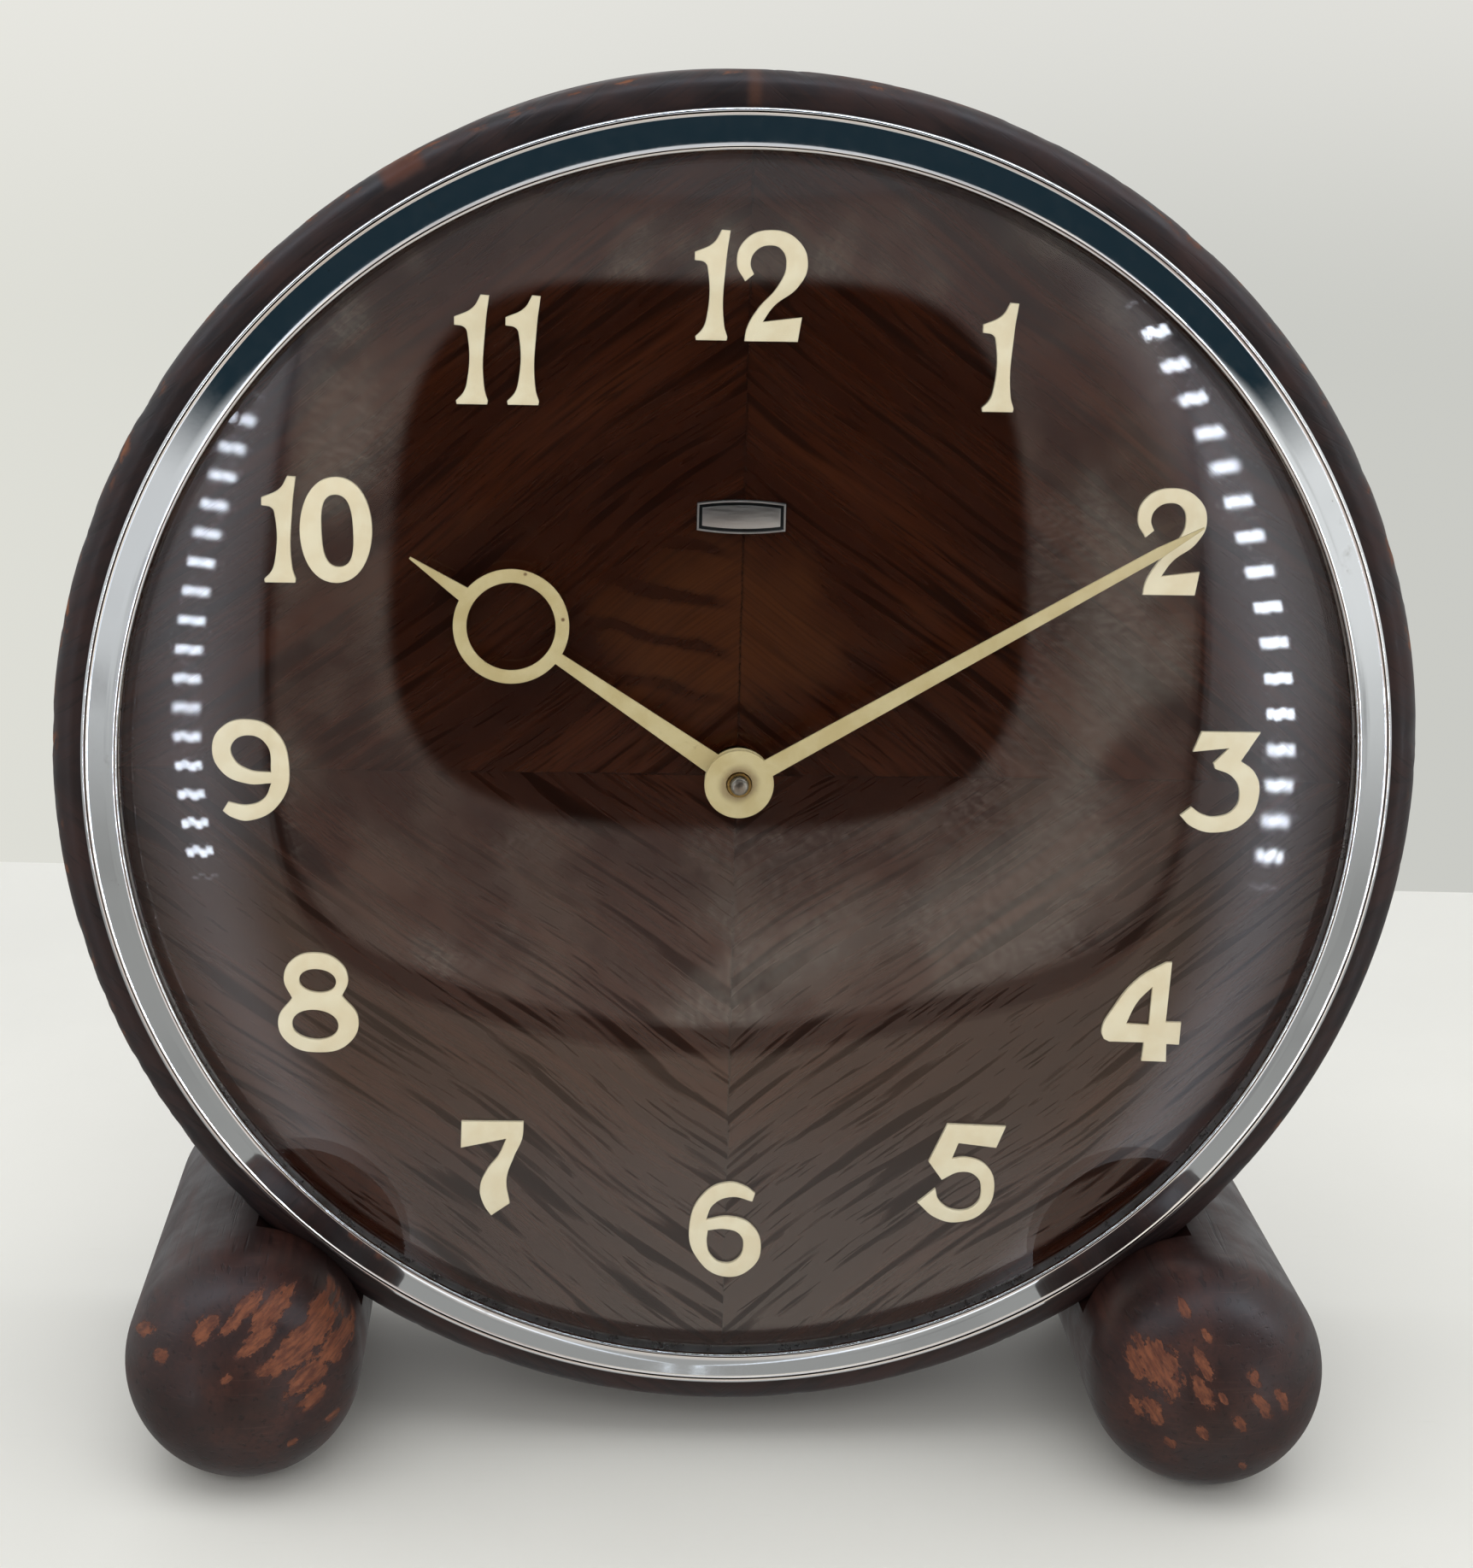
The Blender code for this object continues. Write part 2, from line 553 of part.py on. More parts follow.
def make_badge():
    half_width, half_height = BADGE_HALF
    bow_r = (half_width**2 + BADGE_BULGE**2) / (2 * BADGE_BULGE)
    spread = asin(half_width / bow_r)
    upper = arc(bow_r, pi / 2 - spread, pi / 2 + spread, 8, 0, half_height + BADGE_BULGE - bow_r)
    lower = [(-x, -y) for x, y in upper]
    flat("dial_badge", "badge_silver", [upper + lower], THIN_GAP, THIN_GAP + 0.6 * MM, -0.4 * MM, BADGE_UP)


def mirrored(right_side):
    """A closed outline from its right side, listed from bottom to top."""
    return right_side + [(-x, y) for x, y in reversed(right_side)]


def make_minute_hand():
    boss_r, half_width, hole_r = 5 * MM, 1.3 * MM, 1.85 * MM
    boss = arc(boss_r, -pi / 2, pi / 2 - asin(half_width / boss_r), 8)
    blade = [(0.75 * MM, 68 * MM), (0.12 * MM, 75.2 * MM)]
    outlines = [mirrored(boss[1:] + blade), circle(hole_r)]
    front = MINUTE_HAND_AT + HAND_THICK
    flat("minute_hand", "hand_paint", outlines, MINUTE_HAND_AT, front, turn=-MINUTE_HAND_ANGLE)


def make_hour_hand():
    boss_r, hole_r = 4.9 * MM, 3.2 * MM
    root, neck, point = 1.55 * MM, 0.85 * MM, 1.1 * MM
    ring_at, ring_r, ring_hole_r, tip_at = 39.8 * MM, 8.3 * MM, 6.35 * MM, 57.2 * MM
    boss = arc(boss_r, -pi / 2, pi / 2 - asin(root / boss_r), 8)
    ring = arc(ring_r, -pi / 2 + asin(neck / ring_r), pi / 2 - asin(point / ring_r), 10, 0, ring_at)
    outlines = [
        mirrored(boss[1:] + ring + [(0.15 * MM, tip_at)]),
        circle(ring_hole_r, 0, ring_at, 20),
        circle(hole_r),
    ]
    front = HOUR_HAND_AT + HAND_THICK
    flat("hour_hand", "hand_paint", outlines, HOUR_HAND_AT, front, turn=-HOUR_HAND_ANGLE)


# ---- motion work ----


def make_minute_arbor():
    profile = [
        (0, 7.6 * MM), (ARBOR_R - 0.2 * MM, 7.6 * MM), (ARBOR_R, 7.4 * MM), (ARBOR_R, -62 * MM), (0, -62 * MM),
    ]
    turned("minute_arbor", "steel", profile, sides=16)


def make_cannon_pinion():
    pipe = tube("cannon_pinion", "brass", 1.4 * MM, 1.75 * MM, -14.6 * MM, 6.2 * MM, sides=16)
    outlines = [pinion_outline(CANNON_LEAVES, CANNON_MODULE, radians(-45)), circle(1.55 * MM)]
    boolean(pipe, flat("cannon_leaves", "brass", outlines, -14.2 * MM, -11.9 * MM), "UNION")


def make_minute_wheel():
    x, y = MINUTE_POST
    hub = tube("minute_wheel", "brass", 1 * MM, 1.6 * MM, -14.4 * MM, -8.7 * MM, x, y)
    toward_centre = bearing(MINUTE_POST, CENTRE)
    teeth = wheel_outline(MINUTE_WHEEL_TEETH, CANNON_MODULE, toward_centre)
    disc = flat("minute_wheel_disc", "brass", [teeth, circle(1.3 * MM)], -13.6 * MM, -12.6 * MM, x, y)
    boolean(hub, disc, "UNION")
    leaves = pinion_outline(MINUTE_PINION_LEAVES, HOUR_MODULE, toward_centre)
    boolean(hub, flat("minute_leaves", "brass", [leaves, circle(1.3 * MM)], -13 * MM, -9 * MM, x, y), "UNION")


def make_hour_wheel():
    pipe = tube("hour_wheel", "brass", 1.95 * MM, 3.1 * MM, -10.6 * MM, 4.3 * MM, sides=16)
    teeth = wheel_outline(HOUR_WHEEL_TEETH, HOUR_MODULE, radians(-45))
    boolean(pipe, flat("hour_disc", "brass", [teeth, circle(2.5 * MM)], -10.2 * MM, -9.2 * MM), "UNION")


# ---- movement frame ----


def rounded_plate():
    corners = (
        (PLATE_HALF_WIDTH, PLATE_TOP, 0), (-PLATE_HALF_WIDTH, PLATE_TOP, pi / 2),
        (-PLATE_HALF_WIDTH, PLATE_BOTTOM, pi), (PLATE_HALF_WIDTH, PLATE_BOTTOM, 3 * pi / 2),
    )
    points = []
    for x, y, start in corners:
        middle_x = x - PLATE_CORNER * (1 if x > 0 else -1)
        middle_y = y - PLATE_CORNER * (1 if y > 0 else -1)
        points += arc(PLATE_CORNER, start, start + pi / 2, 3, middle_x, middle_y)
    return points


def plate_holes(centre_r):
    holes = [circle(PIVOT_HOLE_R, x, y, 10) for x, y in (THIRD, FOURTH, ESCAPE, PALLET, BALANCE)]
    holes += [circle(1.3 * MM, x, y, 8) for x, y in PILLARS]
    holes.append(circle(1.95 * MM, *WINDING, sides=12))
    holes.append(circle(centre_r, sides=16))
    return holes


def make_plates():
    front = FRONT_PLATE_AT
    holes = plate_holes(2.2 * MM) + [circle(2.4 * MM, x, y, 12) for x, y in MOUNT_SCREWS]
    plate = flat("front_plate", "brass", [rounded_plate(), *holes], front - PLATE_THICK, front)
    post = rod("minute_post", "steel", 0.85 * MM, front - 1 * MM, -8.5 * MM, *MINUTE_POST, sides=10)
    boolean(plate, post, "UNION")
    holes = plate_holes(1.5 * MM)
    flat("back_plate", "brass", [rounded_plate(), *holes], BACK_PLATE_AT - PLATE_THICK, BACK_PLATE_AT)


def make_pillars():
    """Shouldered pillars, whose ends pass through both plates and are riveted over."""
    front, back = FRONT_PLATE_AT - PLATE_THICK - 0.1 * MM, BACK_PLATE_AT + 0.1 * MM
    tail = BACK_PLATE_AT - PLATE_THICK - 0.8 * MM
    nose = FRONT_PLATE_AT + 0.6 * MM
    for number, (x, y) in enumerate(PILLARS, 1):
        profile = [
            (0, nose), (1.1 * MM, nose), (1.1 * MM, front), (2.8 * MM, front), (2.8 * MM, back),
            (1.1 * MM, back), (1.1 * MM, tail), (0, tail),
        ]
        turned(f"pillar_{number}", "brass", profile, (x, y, 0), sides=12)


def make_mount_screws():
    """Shouldered screws that hold the front plate off the panel's back."""
    shoulder = -PANEL_THICK - GAP
    seat = FRONT_PLATE_AT - PLATE_THICK - 0.1 * MM
    for number, (x, y) in enumerate(MOUNT_SCREWS, 1):
        profile = [
            (0, -4 * MM), (1.2 * MM, -4.6 * MM), (1.2 * MM, shoulder), (2.2 * MM, shoulder), (2.2 * MM, seat),
            (3.4 * MM, seat), (3.4 * MM, seat - 1.4 * MM), (0, seat - 1.4 * MM),
        ]
        turned(f"movement_screw_{number}", "steel", profile, (x, y, 0), sides=12)


# ---- going train ----


def arbor(name, x, y):
    """A plain arbor through both plates."""
    return rod(name, "steel", PIVOT_R, BACK_PLATE_AT - PLATE_THICK - 0.5 * MM, FRONT_PLATE_AT + 0.4 * MM, x, y, 10)


def make_great_wheel():
    x, y = WINDING
    hub = tube("great_wheel", "brass", 1.95 * MM, 3.6 * MM, -22.4 * MM, -19.4 * MM, x, y, 16)
    teeth = wheel_outline(WHEEL_TEETH, CENTRE_MODULE, bearing(WINDING, CENTRE))
    outlines = [teeth, circle(2.8 * MM)] + windows(13.5 * MM, 20 * MM, 5)
    boolean(hub, flat("great_disc", "brass", outlines, -21.9 * MM, -20.3 * MM, x, y), "UNION")
    click_x, click_y = click_place()
    stud = rod("click_stud", "brass", 0.9 * MM, -24.2 * MM, -21 * MM, click_x, click_y, 10)
    boolean(hub, stud, "UNION")


def click_place():
    return polar(11.2 * MM, 40, WINDING)


def make_click():
    """A pivoted pawl on the great wheel, whose nose stands by the ratchet wheel's teeth."""
    x, y = click_place()
    nose = polar(RATCHET_R + 0.3 * MM, 72, (WINDING[0] - x, WINDING[1] - y))
    outline = arc(2 * MM, radians(-100), radians(110), 7)
    outline += [(nose[0] + 0.5 * MM, nose[1] + 1.4 * MM), (nose[0] - 0.2 * MM, nose[1] + 0.4 * MM), nose]
    flat("click", "steel", [outline, circle(1.05 * MM, sides=12)], -23.7 * MM, -22.7 * MM, x, y)


def make_winding_arbor():
    x, y = WINDING
    profile = [
        (0, -15.6 * MM), (1.8 * MM, -15.6 * MM), (1.8 * MM, -46 * MM), (1.5 * MM, -46 * MM), (1.5 * MM, -58 * MM),
        (0, -58 * MM),
    ]
    turned("winding_arbor", "steel", profile, (x, y, 0), sides=16)


def make_ratchet_wheel():
    teeth, root_r = 20, RATCHET_R - 0.9 * MM
    points = []
    for i in range(teeth):
        angle = 2 * pi * i / teeth
        points.append((RATCHET_R * cos(angle), RATCHET_R * sin(angle)))
        points.append((root_r * cos(angle + 0.03), root_r * sin(angle + 0.03)))
    flat("ratchet_wheel", "steel", [points, circle(1.95 * MM)], -23.8 * MM, -22.6 * MM, *WINDING)


def make_mainspring():
    """An open spring, whose outer end reaches one of the pillars."""
    coil = spiral(2.8 * MM, 17 * MM, 4, 13)
    pillar_x, pillar_y = PILLARS[1][0] - WINDING[0], PILLARS[1][1] - WINDING[1]
    tail = [(17.6 * MM, -7 * MM), (22 * MM, -13 * MM), (pillar_x - 3.3 * MM, pillar_y + 1.3 * MM)]
    flat("mainspring", "blued_steel", [strip(coil + tail, 0.45 * MM)], -37 * MM, -25.2 * MM, *WINDING)


def make_centre_wheel():
    hub = tube("centre_wheel", "brass", 1.45 * MM, 2.2 * MM, -24 * MM, -17.9 * MM, sides=16)
    teeth = wheel_outline(WHEEL_TEETH, THIRD_MODULE, bearing(CENTRE, THIRD))
    outlines = [teeth, circle(1.8 * MM)] + windows(5.5 * MM, 14.5 * MM)
    boolean(hub, flat("centre_disc", "brass", outlines, -19.2 * MM, -18.2 * MM), "UNION")
    leaves = pinion_outline(PINION_LEAVES, CENTRE_MODULE, bearing(CENTRE, WINDING))
    boolean(hub, flat("centre_leaves", "brass", [leaves, circle(1.8 * MM)], -22.6 * MM, -19 * MM), "UNION")


def make_train_wheel(name, at, pinion_module, pinion_span, towards, wheel_module, wheel_span, onwards):
    """A wheel and pinion on one arbor: the pinion is driven from towards, the wheel drives onwards."""
    x, y = at
    staff = arbor(name, x, y)
    leaves = pinion_outline(PINION_LEAVES, pinion_module, bearing(at, towards))
    boolean(staff, flat(f"{name}_leaves", "steel", [leaves], *pinion_span, x, y), "UNION")
    teeth = wheel_outline(WHEEL_TEETH, wheel_module, bearing(at, onwards))
    rim_r = wheel_module * (WHEEL_TEETH / 2 - 3)
    disc = flat(f"{name}_disc", "brass", [teeth, *windows(0.3 * rim_r, rim_r)], *wheel_span, x, y)
    boolean(staff, disc, "UNION")


def make_train():
    make_train_wheel(
        "third_wheel", THIRD, THIRD_MODULE, (-19.8 * MM, -17.8 * MM), CENTRE,
        FOURTH_MODULE, (-25 * MM, -24 * MM), FOURTH,
    )
    make_train_wheel(
        "fourth_wheel", FOURTH, FOURTH_MODULE, (-25.5 * MM, -23.5 * MM), THIRD,
        ESCAPE_MODULE, (-29.9 * MM, -29 * MM), ESCAPE,
    )


def make_escape_wheel():
    x, y = ESCAPE
    staff = arbor("escape_wheel", x, y)
    leaves = pinion_outline(PINION_LEAVES, ESCAPE_MODULE, bearing(ESCAPE, FOURTH))
    boolean(staff, flat("escape_leaves", "steel", [leaves], -30.4 * MM, -28.5 * MM, x, y), "UNION")
    teeth, tip_r, root_r = 15, 8.5 * MM, 6.4 * MM
    points = []
    for i in range(teeth):
        angle = 2 * pi * i / teeth
        for radius, lead in ((root_r, -0.10), (tip_r, 0.02), (tip_r, 0.07), (root_r, 0.12)):
            points.append((radius * cos(angle + lead), radius * sin(angle + lead)))
    disc = flat("escape_disc", "brass", [points, *windows(2 * MM, 5.2 * MM, arm=1.4 * MM)],
                -35.8 * MM, -35 * MM, x, y)
    boolean(staff, disc, "UNION")


def make_pallet_lever():
    """A pin-pallet lever: two pins beside the escape wheel and a tail towards the balance."""
    x, y = PALLET
    staff = arbor("pallet_lever", x, y)
    pin_places = [(ESCAPE[0] + 9.5 * MM * cos(a) - x, ESCAPE[1] + 9.5 * MM * sin(a) - y)
                  for a in (radians(35), radians(-35))]
    (upper_x, upper_y), (lower_x, lower_y) = pin_places
    tail_x, tail_y = polar(8.2 * MM, -15)
    outline = [
        (tail_x, tail_y - 0.5 * MM), (tail_x + 0.2 * MM, tail_y + 0.5 * MM), (1.6 * MM, 1.2 * MM),
        (upper_x + 0.9 * MM, upper_y + 0.8 * MM), (upper_x - 0.7 * MM, upper_y + 0.7 * MM),
        (upper_x - 0.8 * MM, upper_y - 0.8 * MM), (-1.6 * MM, 0), (lower_x - 0.8 * MM, lower_y + 0.8 * MM),
        (lower_x - 0.7 * MM, lower_y - 0.7 * MM), (lower_x + 0.9 * MM, lower_y - 0.8 * MM), (1.2 * MM, -1.6 * MM),
    ]
    boolean(staff, flat("pallet_frame", "brass", [outline], -34.2 * MM, -33.4 * MM, x, y), "UNION")
    for pin_x, pin_y in pin_places:
        pin = rod("pallet_pin", "steel", 0.4 * MM, -36.2 * MM, -33.8 * MM, x + pin_x, y + pin_y, 8)
        boolean(staff, pin, "UNION")


def make_balance_wheel():
    x, y = BALANCE
    staff = arbor("balance_wheel", x, y)
    ring = [circle(BALANCE_R, sides=24), *windows(2.2 * MM, BALANCE_R - 1.6 * MM, count=3, arm=1.8 * MM)]
    boolean(staff, flat("balance_ring", "brass", ring, -32.6 * MM, -31 * MM, x, y), "UNION")
    boolean(staff, rod("balance_roller", "steel", 2.2 * MM, -34.2 * MM, -33.4 * MM, x, y, 12), "UNION")


def make_hairspring():
    coil = spiral(1.5 * MM, 6.6 * MM, 3, 12)
    flat("hairspring", "blued_steel", [strip(coil, 0.3 * MM)], -37.4 * MM, -36.6 * MM, *BALANCE)


def make_regulator_lever():
    """Turns on the back plate about the balance's axis, with a pointer that stands up to the cover's slot."""
    ring_r, pointer_at = 3 * MM, 13 * MM
    pointer = [(0.7 * MM, pointer_at), (0.3 * MM, pointer_at + 1 * MM)]
    lever = mirrored(arc(ring_r, -pi / 2, radians(70), 6)[1:] + pointer)
    back = BACK_PLATE_AT - PLATE_THICK
    flat("regulator_lever", "steel", [lever, circle(1.2 * MM, sides=12)],
         back - 1.3 * MM, back - 0.3 * MM, *BALANCE)


# ---- knob and key ----


def make_set_knob():
    front, back = -57 * MM, -64 * MM
    points = []
    grips = 18
    for i in range(grips):
        angle = 2 * pi * i / grips
        points.append((6.2 * MM * cos(angle), 6.2 * MM * sin(angle)))
        points.append((5.7 * MM * cos(angle + pi / grips), 5.7 * MM * sin(angle + pi / grips)))
    knob = flat("set_knob", "brass", [points], back, front)
    boolean(knob, rod("knob_bore", "steel", ARBOR_R + 0.12 * MM, -62.4 * MM, -50 * MM, sides=16), "DIFFERENCE")


def make_winding_key():
    x, y = WINDING
    socket = tube("winding_key", "brass", 1.65 * MM, 3 * MM, -59.5 * MM, -47 * MM, x, y, 16)
    half_span, neck, waist = 13 * MM, 2.6 * MM, 2.2 * MM
    back, front = KEY_BACK, -58.4 * MM
    middle = (front + back) / 2
    half_rise = (front - back) / 2
    # one wing, in the plane through the key's axis; its y is the clock's depth
    lobe = arc(half_rise, -pi / 2, pi / 2, 8, half_span - half_rise, 0)
    right = [(neck, -waist)] + lobe + [(neck, half_rise)]
    outlines = [mirrored(right)] + [circle(2 * MM, end * (half_span - half_rise), 0, 10) for end in (1, -1)]
    wings = flat("key_wings", "brass", outlines, -0.9 * MM, 0.9 * MM)
    wings.rotation_euler = (pi / 2, 0, 0)
    wings.location = (x, y, middle)
    boolean(socket, wings, "UNION")


def apply_and_shade(obj):
    """Applies a piece's modifiers, then shades it smooth except across its sharp edges."""
    mesh = bpy.data.meshes.new_from_object(obj.evaluated_get(bpy.context.evaluated_depsgraph_get()))
    obj.modifiers.clear()
    obj.data = mesh
    mesh.name = obj.name
    mesh.shade_smooth()
    mesh.set_sharp_from_angle(angle=SHARP)


clear_scene()
PARTS = new_collection("mantel_clock")
CUTTERS = new_collection("cutters")
CLOCK_AXIS = bpy.data.objects.new("clock_axis", None)
CLOCK_AXIS.location = (0, AXIS_Y, AXIS_HEIGHT)
CLOCK_AXIS.rotation_euler = (pi / 2, 0, 0)
PARTS.objects.link(CLOCK_AXIS)

make_front_panel()
make_case_drum()
make_back_cover()
make_cover_screws()
make_feet()
make_foot_screws()
make_bezel()
make_glass()
make_glass_ring()
make_digits()
make_badge()
make_minute_hand()
make_hour_hand()
make_minute_arbor()
make_cannon_pinion()
make_minute_wheel()
make_hour_wheel()
make_plates()
make_pillars()
make_mount_screws()
make_great_wheel()
make_click()
make_winding_arbor()
make_ratchet_wheel()
make_mainspring()
make_centre_wheel()
make_train()
make_escape_wheel()
make_pallet_lever()
make_balance_wheel()
make_hairspring()
make_regulator_lever()
make_set_knob()
make_winding_key()

for piece in list(PARTS.objects):
    if piece.type == "MESH" and not piece.hide_render:
        apply_and_shade(piece)
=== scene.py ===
"""A round mantel clock: a quarter-matched face, a domed glass in a chrome bezel, and two dowel feet.

Local sizes are in millimetres from the dial's centre: x right, y up and z forward of the veneered face. The
frame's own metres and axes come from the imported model, through TO_WORLD.
"""

import json
from math import asin, cos, hypot, pi, radians, sin, sqrt

import bmesh
import bpy
from mathutils import Matrix, Vector, noise


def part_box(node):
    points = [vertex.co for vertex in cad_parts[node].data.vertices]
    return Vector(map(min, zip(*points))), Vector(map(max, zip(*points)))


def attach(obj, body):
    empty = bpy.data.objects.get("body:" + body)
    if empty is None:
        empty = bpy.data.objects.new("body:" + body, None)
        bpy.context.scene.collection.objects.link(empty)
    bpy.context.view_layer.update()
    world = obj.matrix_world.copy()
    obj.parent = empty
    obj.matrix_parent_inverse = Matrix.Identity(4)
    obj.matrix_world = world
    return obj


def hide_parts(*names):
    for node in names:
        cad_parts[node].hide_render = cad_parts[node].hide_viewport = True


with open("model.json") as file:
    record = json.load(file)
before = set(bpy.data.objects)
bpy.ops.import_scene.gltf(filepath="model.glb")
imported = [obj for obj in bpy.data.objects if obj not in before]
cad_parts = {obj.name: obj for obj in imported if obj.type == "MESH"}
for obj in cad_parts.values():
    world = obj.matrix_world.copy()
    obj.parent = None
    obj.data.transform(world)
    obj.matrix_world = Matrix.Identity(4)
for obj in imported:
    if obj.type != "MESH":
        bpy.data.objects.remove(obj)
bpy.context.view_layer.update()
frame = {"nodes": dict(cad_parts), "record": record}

MM = 0.001
TO_DEGREES = 180 / pi
FILL_TURN = 0.37  # the fill of level outline points leaves slivers, so outlines are filled while turned
STEPS = 256
FINE_STEPS = 720
SHARP = 35  # degrees between faces, above which an edge is drawn sharp

CASE_R = 100.0
DRUM_INNER_R = 89.4
COVER_REBATE_R = 94.4
COVER_REBATE_DEPTH = 3.3
PANEL_THICK = 8.0
PANEL_HOLE_R = 4.4
PANEL_FLAT_R = 96.3
PANEL_EDGE_DEPTH = 4.2
BEZEL_R = 95.0
LIP_R = 89.3
FOOT_R = 17.65
FOOT_FLAT = 0.4
FOOT_GAP = 0.3  # between a foot's seat and the drum
FOOT_DOME_AT = 8.0
GLASS_CURVE_R = 247.0
GLASS_RIM_AT = 3.7
GLASS_THICK = 1.6
ARBOR_R = 1.3
KNOB_BORE_R = 1.42
KEY_BOW_FRONT = -58.4
GRAIN_ANGLE = radians(37)
HOUR_HAND_ANGLE = radians(304)
MINUTE_HAND_ANGLE = radians(59.5)
GLOW_SHARE = 0.024  # of a lamp's strength, on the tent wall beside it

face_low, face_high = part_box("front_panel")
AXIS = Vector(((face_low.x + face_high.x) / 2, face_low.y, (face_low.z + face_high.z) / 2))
TO_WORLD = Matrix.Translation(AXIS) @ Matrix.Rotation(pi / 2, 4, "X")
TO_LOCAL = TO_WORLD.inverted()


def local_box(node):
    """A CAD node's lowest and highest corner in local millimetres."""
    low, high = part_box(node)
    ends = [TO_LOCAL @ low / MM, TO_LOCAL @ high / MM]
    return Vector(map(min, *ends)), Vector(map(max, *ends))


def middle(node):
    low, high = local_box(node)
    return (low + high) / 2


# ---- outlines and profiles ----


def circle(radius, x=0.0, y=0.0, steps=64):
    angles = [2 * pi * i / steps for i in range(steps)]
    return [(x + radius * cos(a), y + radius * sin(a)) for a in angles]


def arc(radius, start, end, steps, x=0.0, y=0.0):
    angles = [start + (end - start) * i / steps for i in range(steps + 1)]
    return [(x + radius * cos(a), y + radius * sin(a)) for a in angles]


def soften(points, radius, steps):
    """Rounds a closed polyline's corners."""
    made = []
    count = len(points)
    for i, point in enumerate(points):
        here = Vector(point)
        before, after = Vector(points[i - 1]), Vector(points[(i + 1) % count])
        reach = min(radius, (before - here).length * 0.45, (after - here).length * 0.45)
        start = here + (before - here).normalized() * reach
        end = here + (after - here).normalized() * reach
        for k in range(steps + 1):
            t = k / steps
            made.append(tuple(start * (1 - t) ** 2 + here * 2 * t * (1 - t) + end * t**2))
    return made


def mirrored(right_side):
    return right_side + [(-x, y) for x, y in reversed(right_side)]


# ---- pieces ----


def finish_mesh(mesh, sharp=SHARP):
    work = bmesh.new()
    work.from_mesh(mesh)
    bmesh.ops.remove_doubles(work, verts=work.verts, dist=1e-7)
    bmesh.ops.recalc_face_normals(work, faces=work.faces)
    work.to_mesh(mesh)
    work.free()
    mesh.shade_smooth()
    mesh.set_sharp_from_angle(angle=radians(sharp))


def place(name, mesh, look, body, x=0.0, y=0.0, turn=0.0, stands_for=()):
    """Puts a local mesh into the frame as a piece of a body."""
    obj = bpy.data.objects.new(name, mesh)
    bpy.context.scene.collection.objects.link(obj)
    mesh.materials.clear()
    mesh.materials.append(LOOKS[look])
    place_in = Matrix.Translation(Vector((x, y, 0.0)) * MM) @ Matrix.Rotation(turn, 4, "Z")
    obj.matrix_world = TO_WORLD @ place_in
    if stands_for:
        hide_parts(*stands_for)
    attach(obj, body)


def lathe(profile, steps=STEPS, sharp=SHARP):
    """A turned mesh. A profile that starts off the axis is a closed ring."""
    points, rows = [], []
    for radius, forward in profile:
        if radius < 1e-6:
            rows.append([len(points)] * steps)
            points.append((0, 0, forward * MM))
            continue
        rows.append(list(range(len(points), len(points) + steps)))
        points += [(x * MM, y * MM, forward * MM) for x, y in circle(radius, steps=steps)]
    pairs = list(zip(rows, rows[1:]))
    if profile[0][0] > 1e-6:
        pairs.append((rows[-1], rows[0]))
    faces = []
    for a, b in pairs:
        for i in range(steps):
            k = (i + 1) % steps
            faces.append(list(dict.fromkeys((a[i], a[k], b[k], b[i]))))
    mesh = bpy.data.meshes.new("turned")
    mesh.from_pydata(points, [], faces)
    finish_mesh(mesh, sharp)
    return mesh


def evaluated(obj):
    """A new mesh of an object as its modifiers or its curve settings shape it."""
    return bpy.data.meshes.new_from_object(obj.evaluated_get(bpy.context.evaluated_depsgraph_get()))


def flat(outlines, back, front, bevel=0.0, sharp=SHARP):
    """A flat mesh cut to outlines of (x, y) corners, or of (x, y, handle kind) curve points."""
    curve = bpy.data.curves.new("flat", "CURVE")
    curve.dimensions = "2D"
    curve.fill_mode = "BOTH"
    curve.extrude = ((front - back) / 2 - bevel) * MM
    curve.bevel_depth = bevel * MM
    curve.bevel_resolution = 2
    curve.offset = -bevel * MM
    curve.resolution_u = 12
    level = cos(FILL_TURN), sin(FILL_TURN)
    for outline in outlines:
        smooth = len(outline[0]) == 3
        spline = curve.splines.new("BEZIER" if smooth else "POLY")
        spline.use_cyclic_u = True
        points = spline.bezier_points if smooth else spline.points
        points.add(len(outline) - 1)
        for point, values in zip(points, outline):
            x = (values[0] * level[0] - values[1] * level[1]) * MM
            y = (values[0] * level[1] + values[1] * level[0]) * MM
            if smooth:
                point.co = (x, y, 0)
                point.handle_left_type = point.handle_right_type = values[2]
            else:
                point.co = (x, y, 0, 1)
    shape = bpy.data.objects.new("flat", curve)
    bpy.context.scene.collection.objects.link(shape)
    mesh = evaluated(shape)
    bpy.data.objects.remove(shape)
    bpy.data.curves.remove(curve)
    lift = Matrix.Translation((0, 0, (front + back) / 2 * MM))
    mesh.transform(lift @ Matrix.Rotation(-FILL_TURN, 4, "Z"))
    finish_mesh(mesh, sharp)
    return mesh


def combined(mesh, other, operation, move=None):
    """The mesh after a Boolean with another one."""
    first = bpy.data.objects.new("first", mesh)
    second = bpy.data.objects.new("second", other)
    if move:
        second.matrix_world = move
    for obj in (first, second):
        bpy.context.scene.collection.objects.link(obj)
    step = first.modifiers.new("step", "BOOLEAN")
    step.operation = operation
    step.solver = "EXACT"
    step.object = second
    bpy.context.view_layer.update()
    made = evaluated(first)
    for obj in (first, second):
        bpy.data.objects.remove(obj)
    finish_mesh(made)
    return made


# ---- materials ----


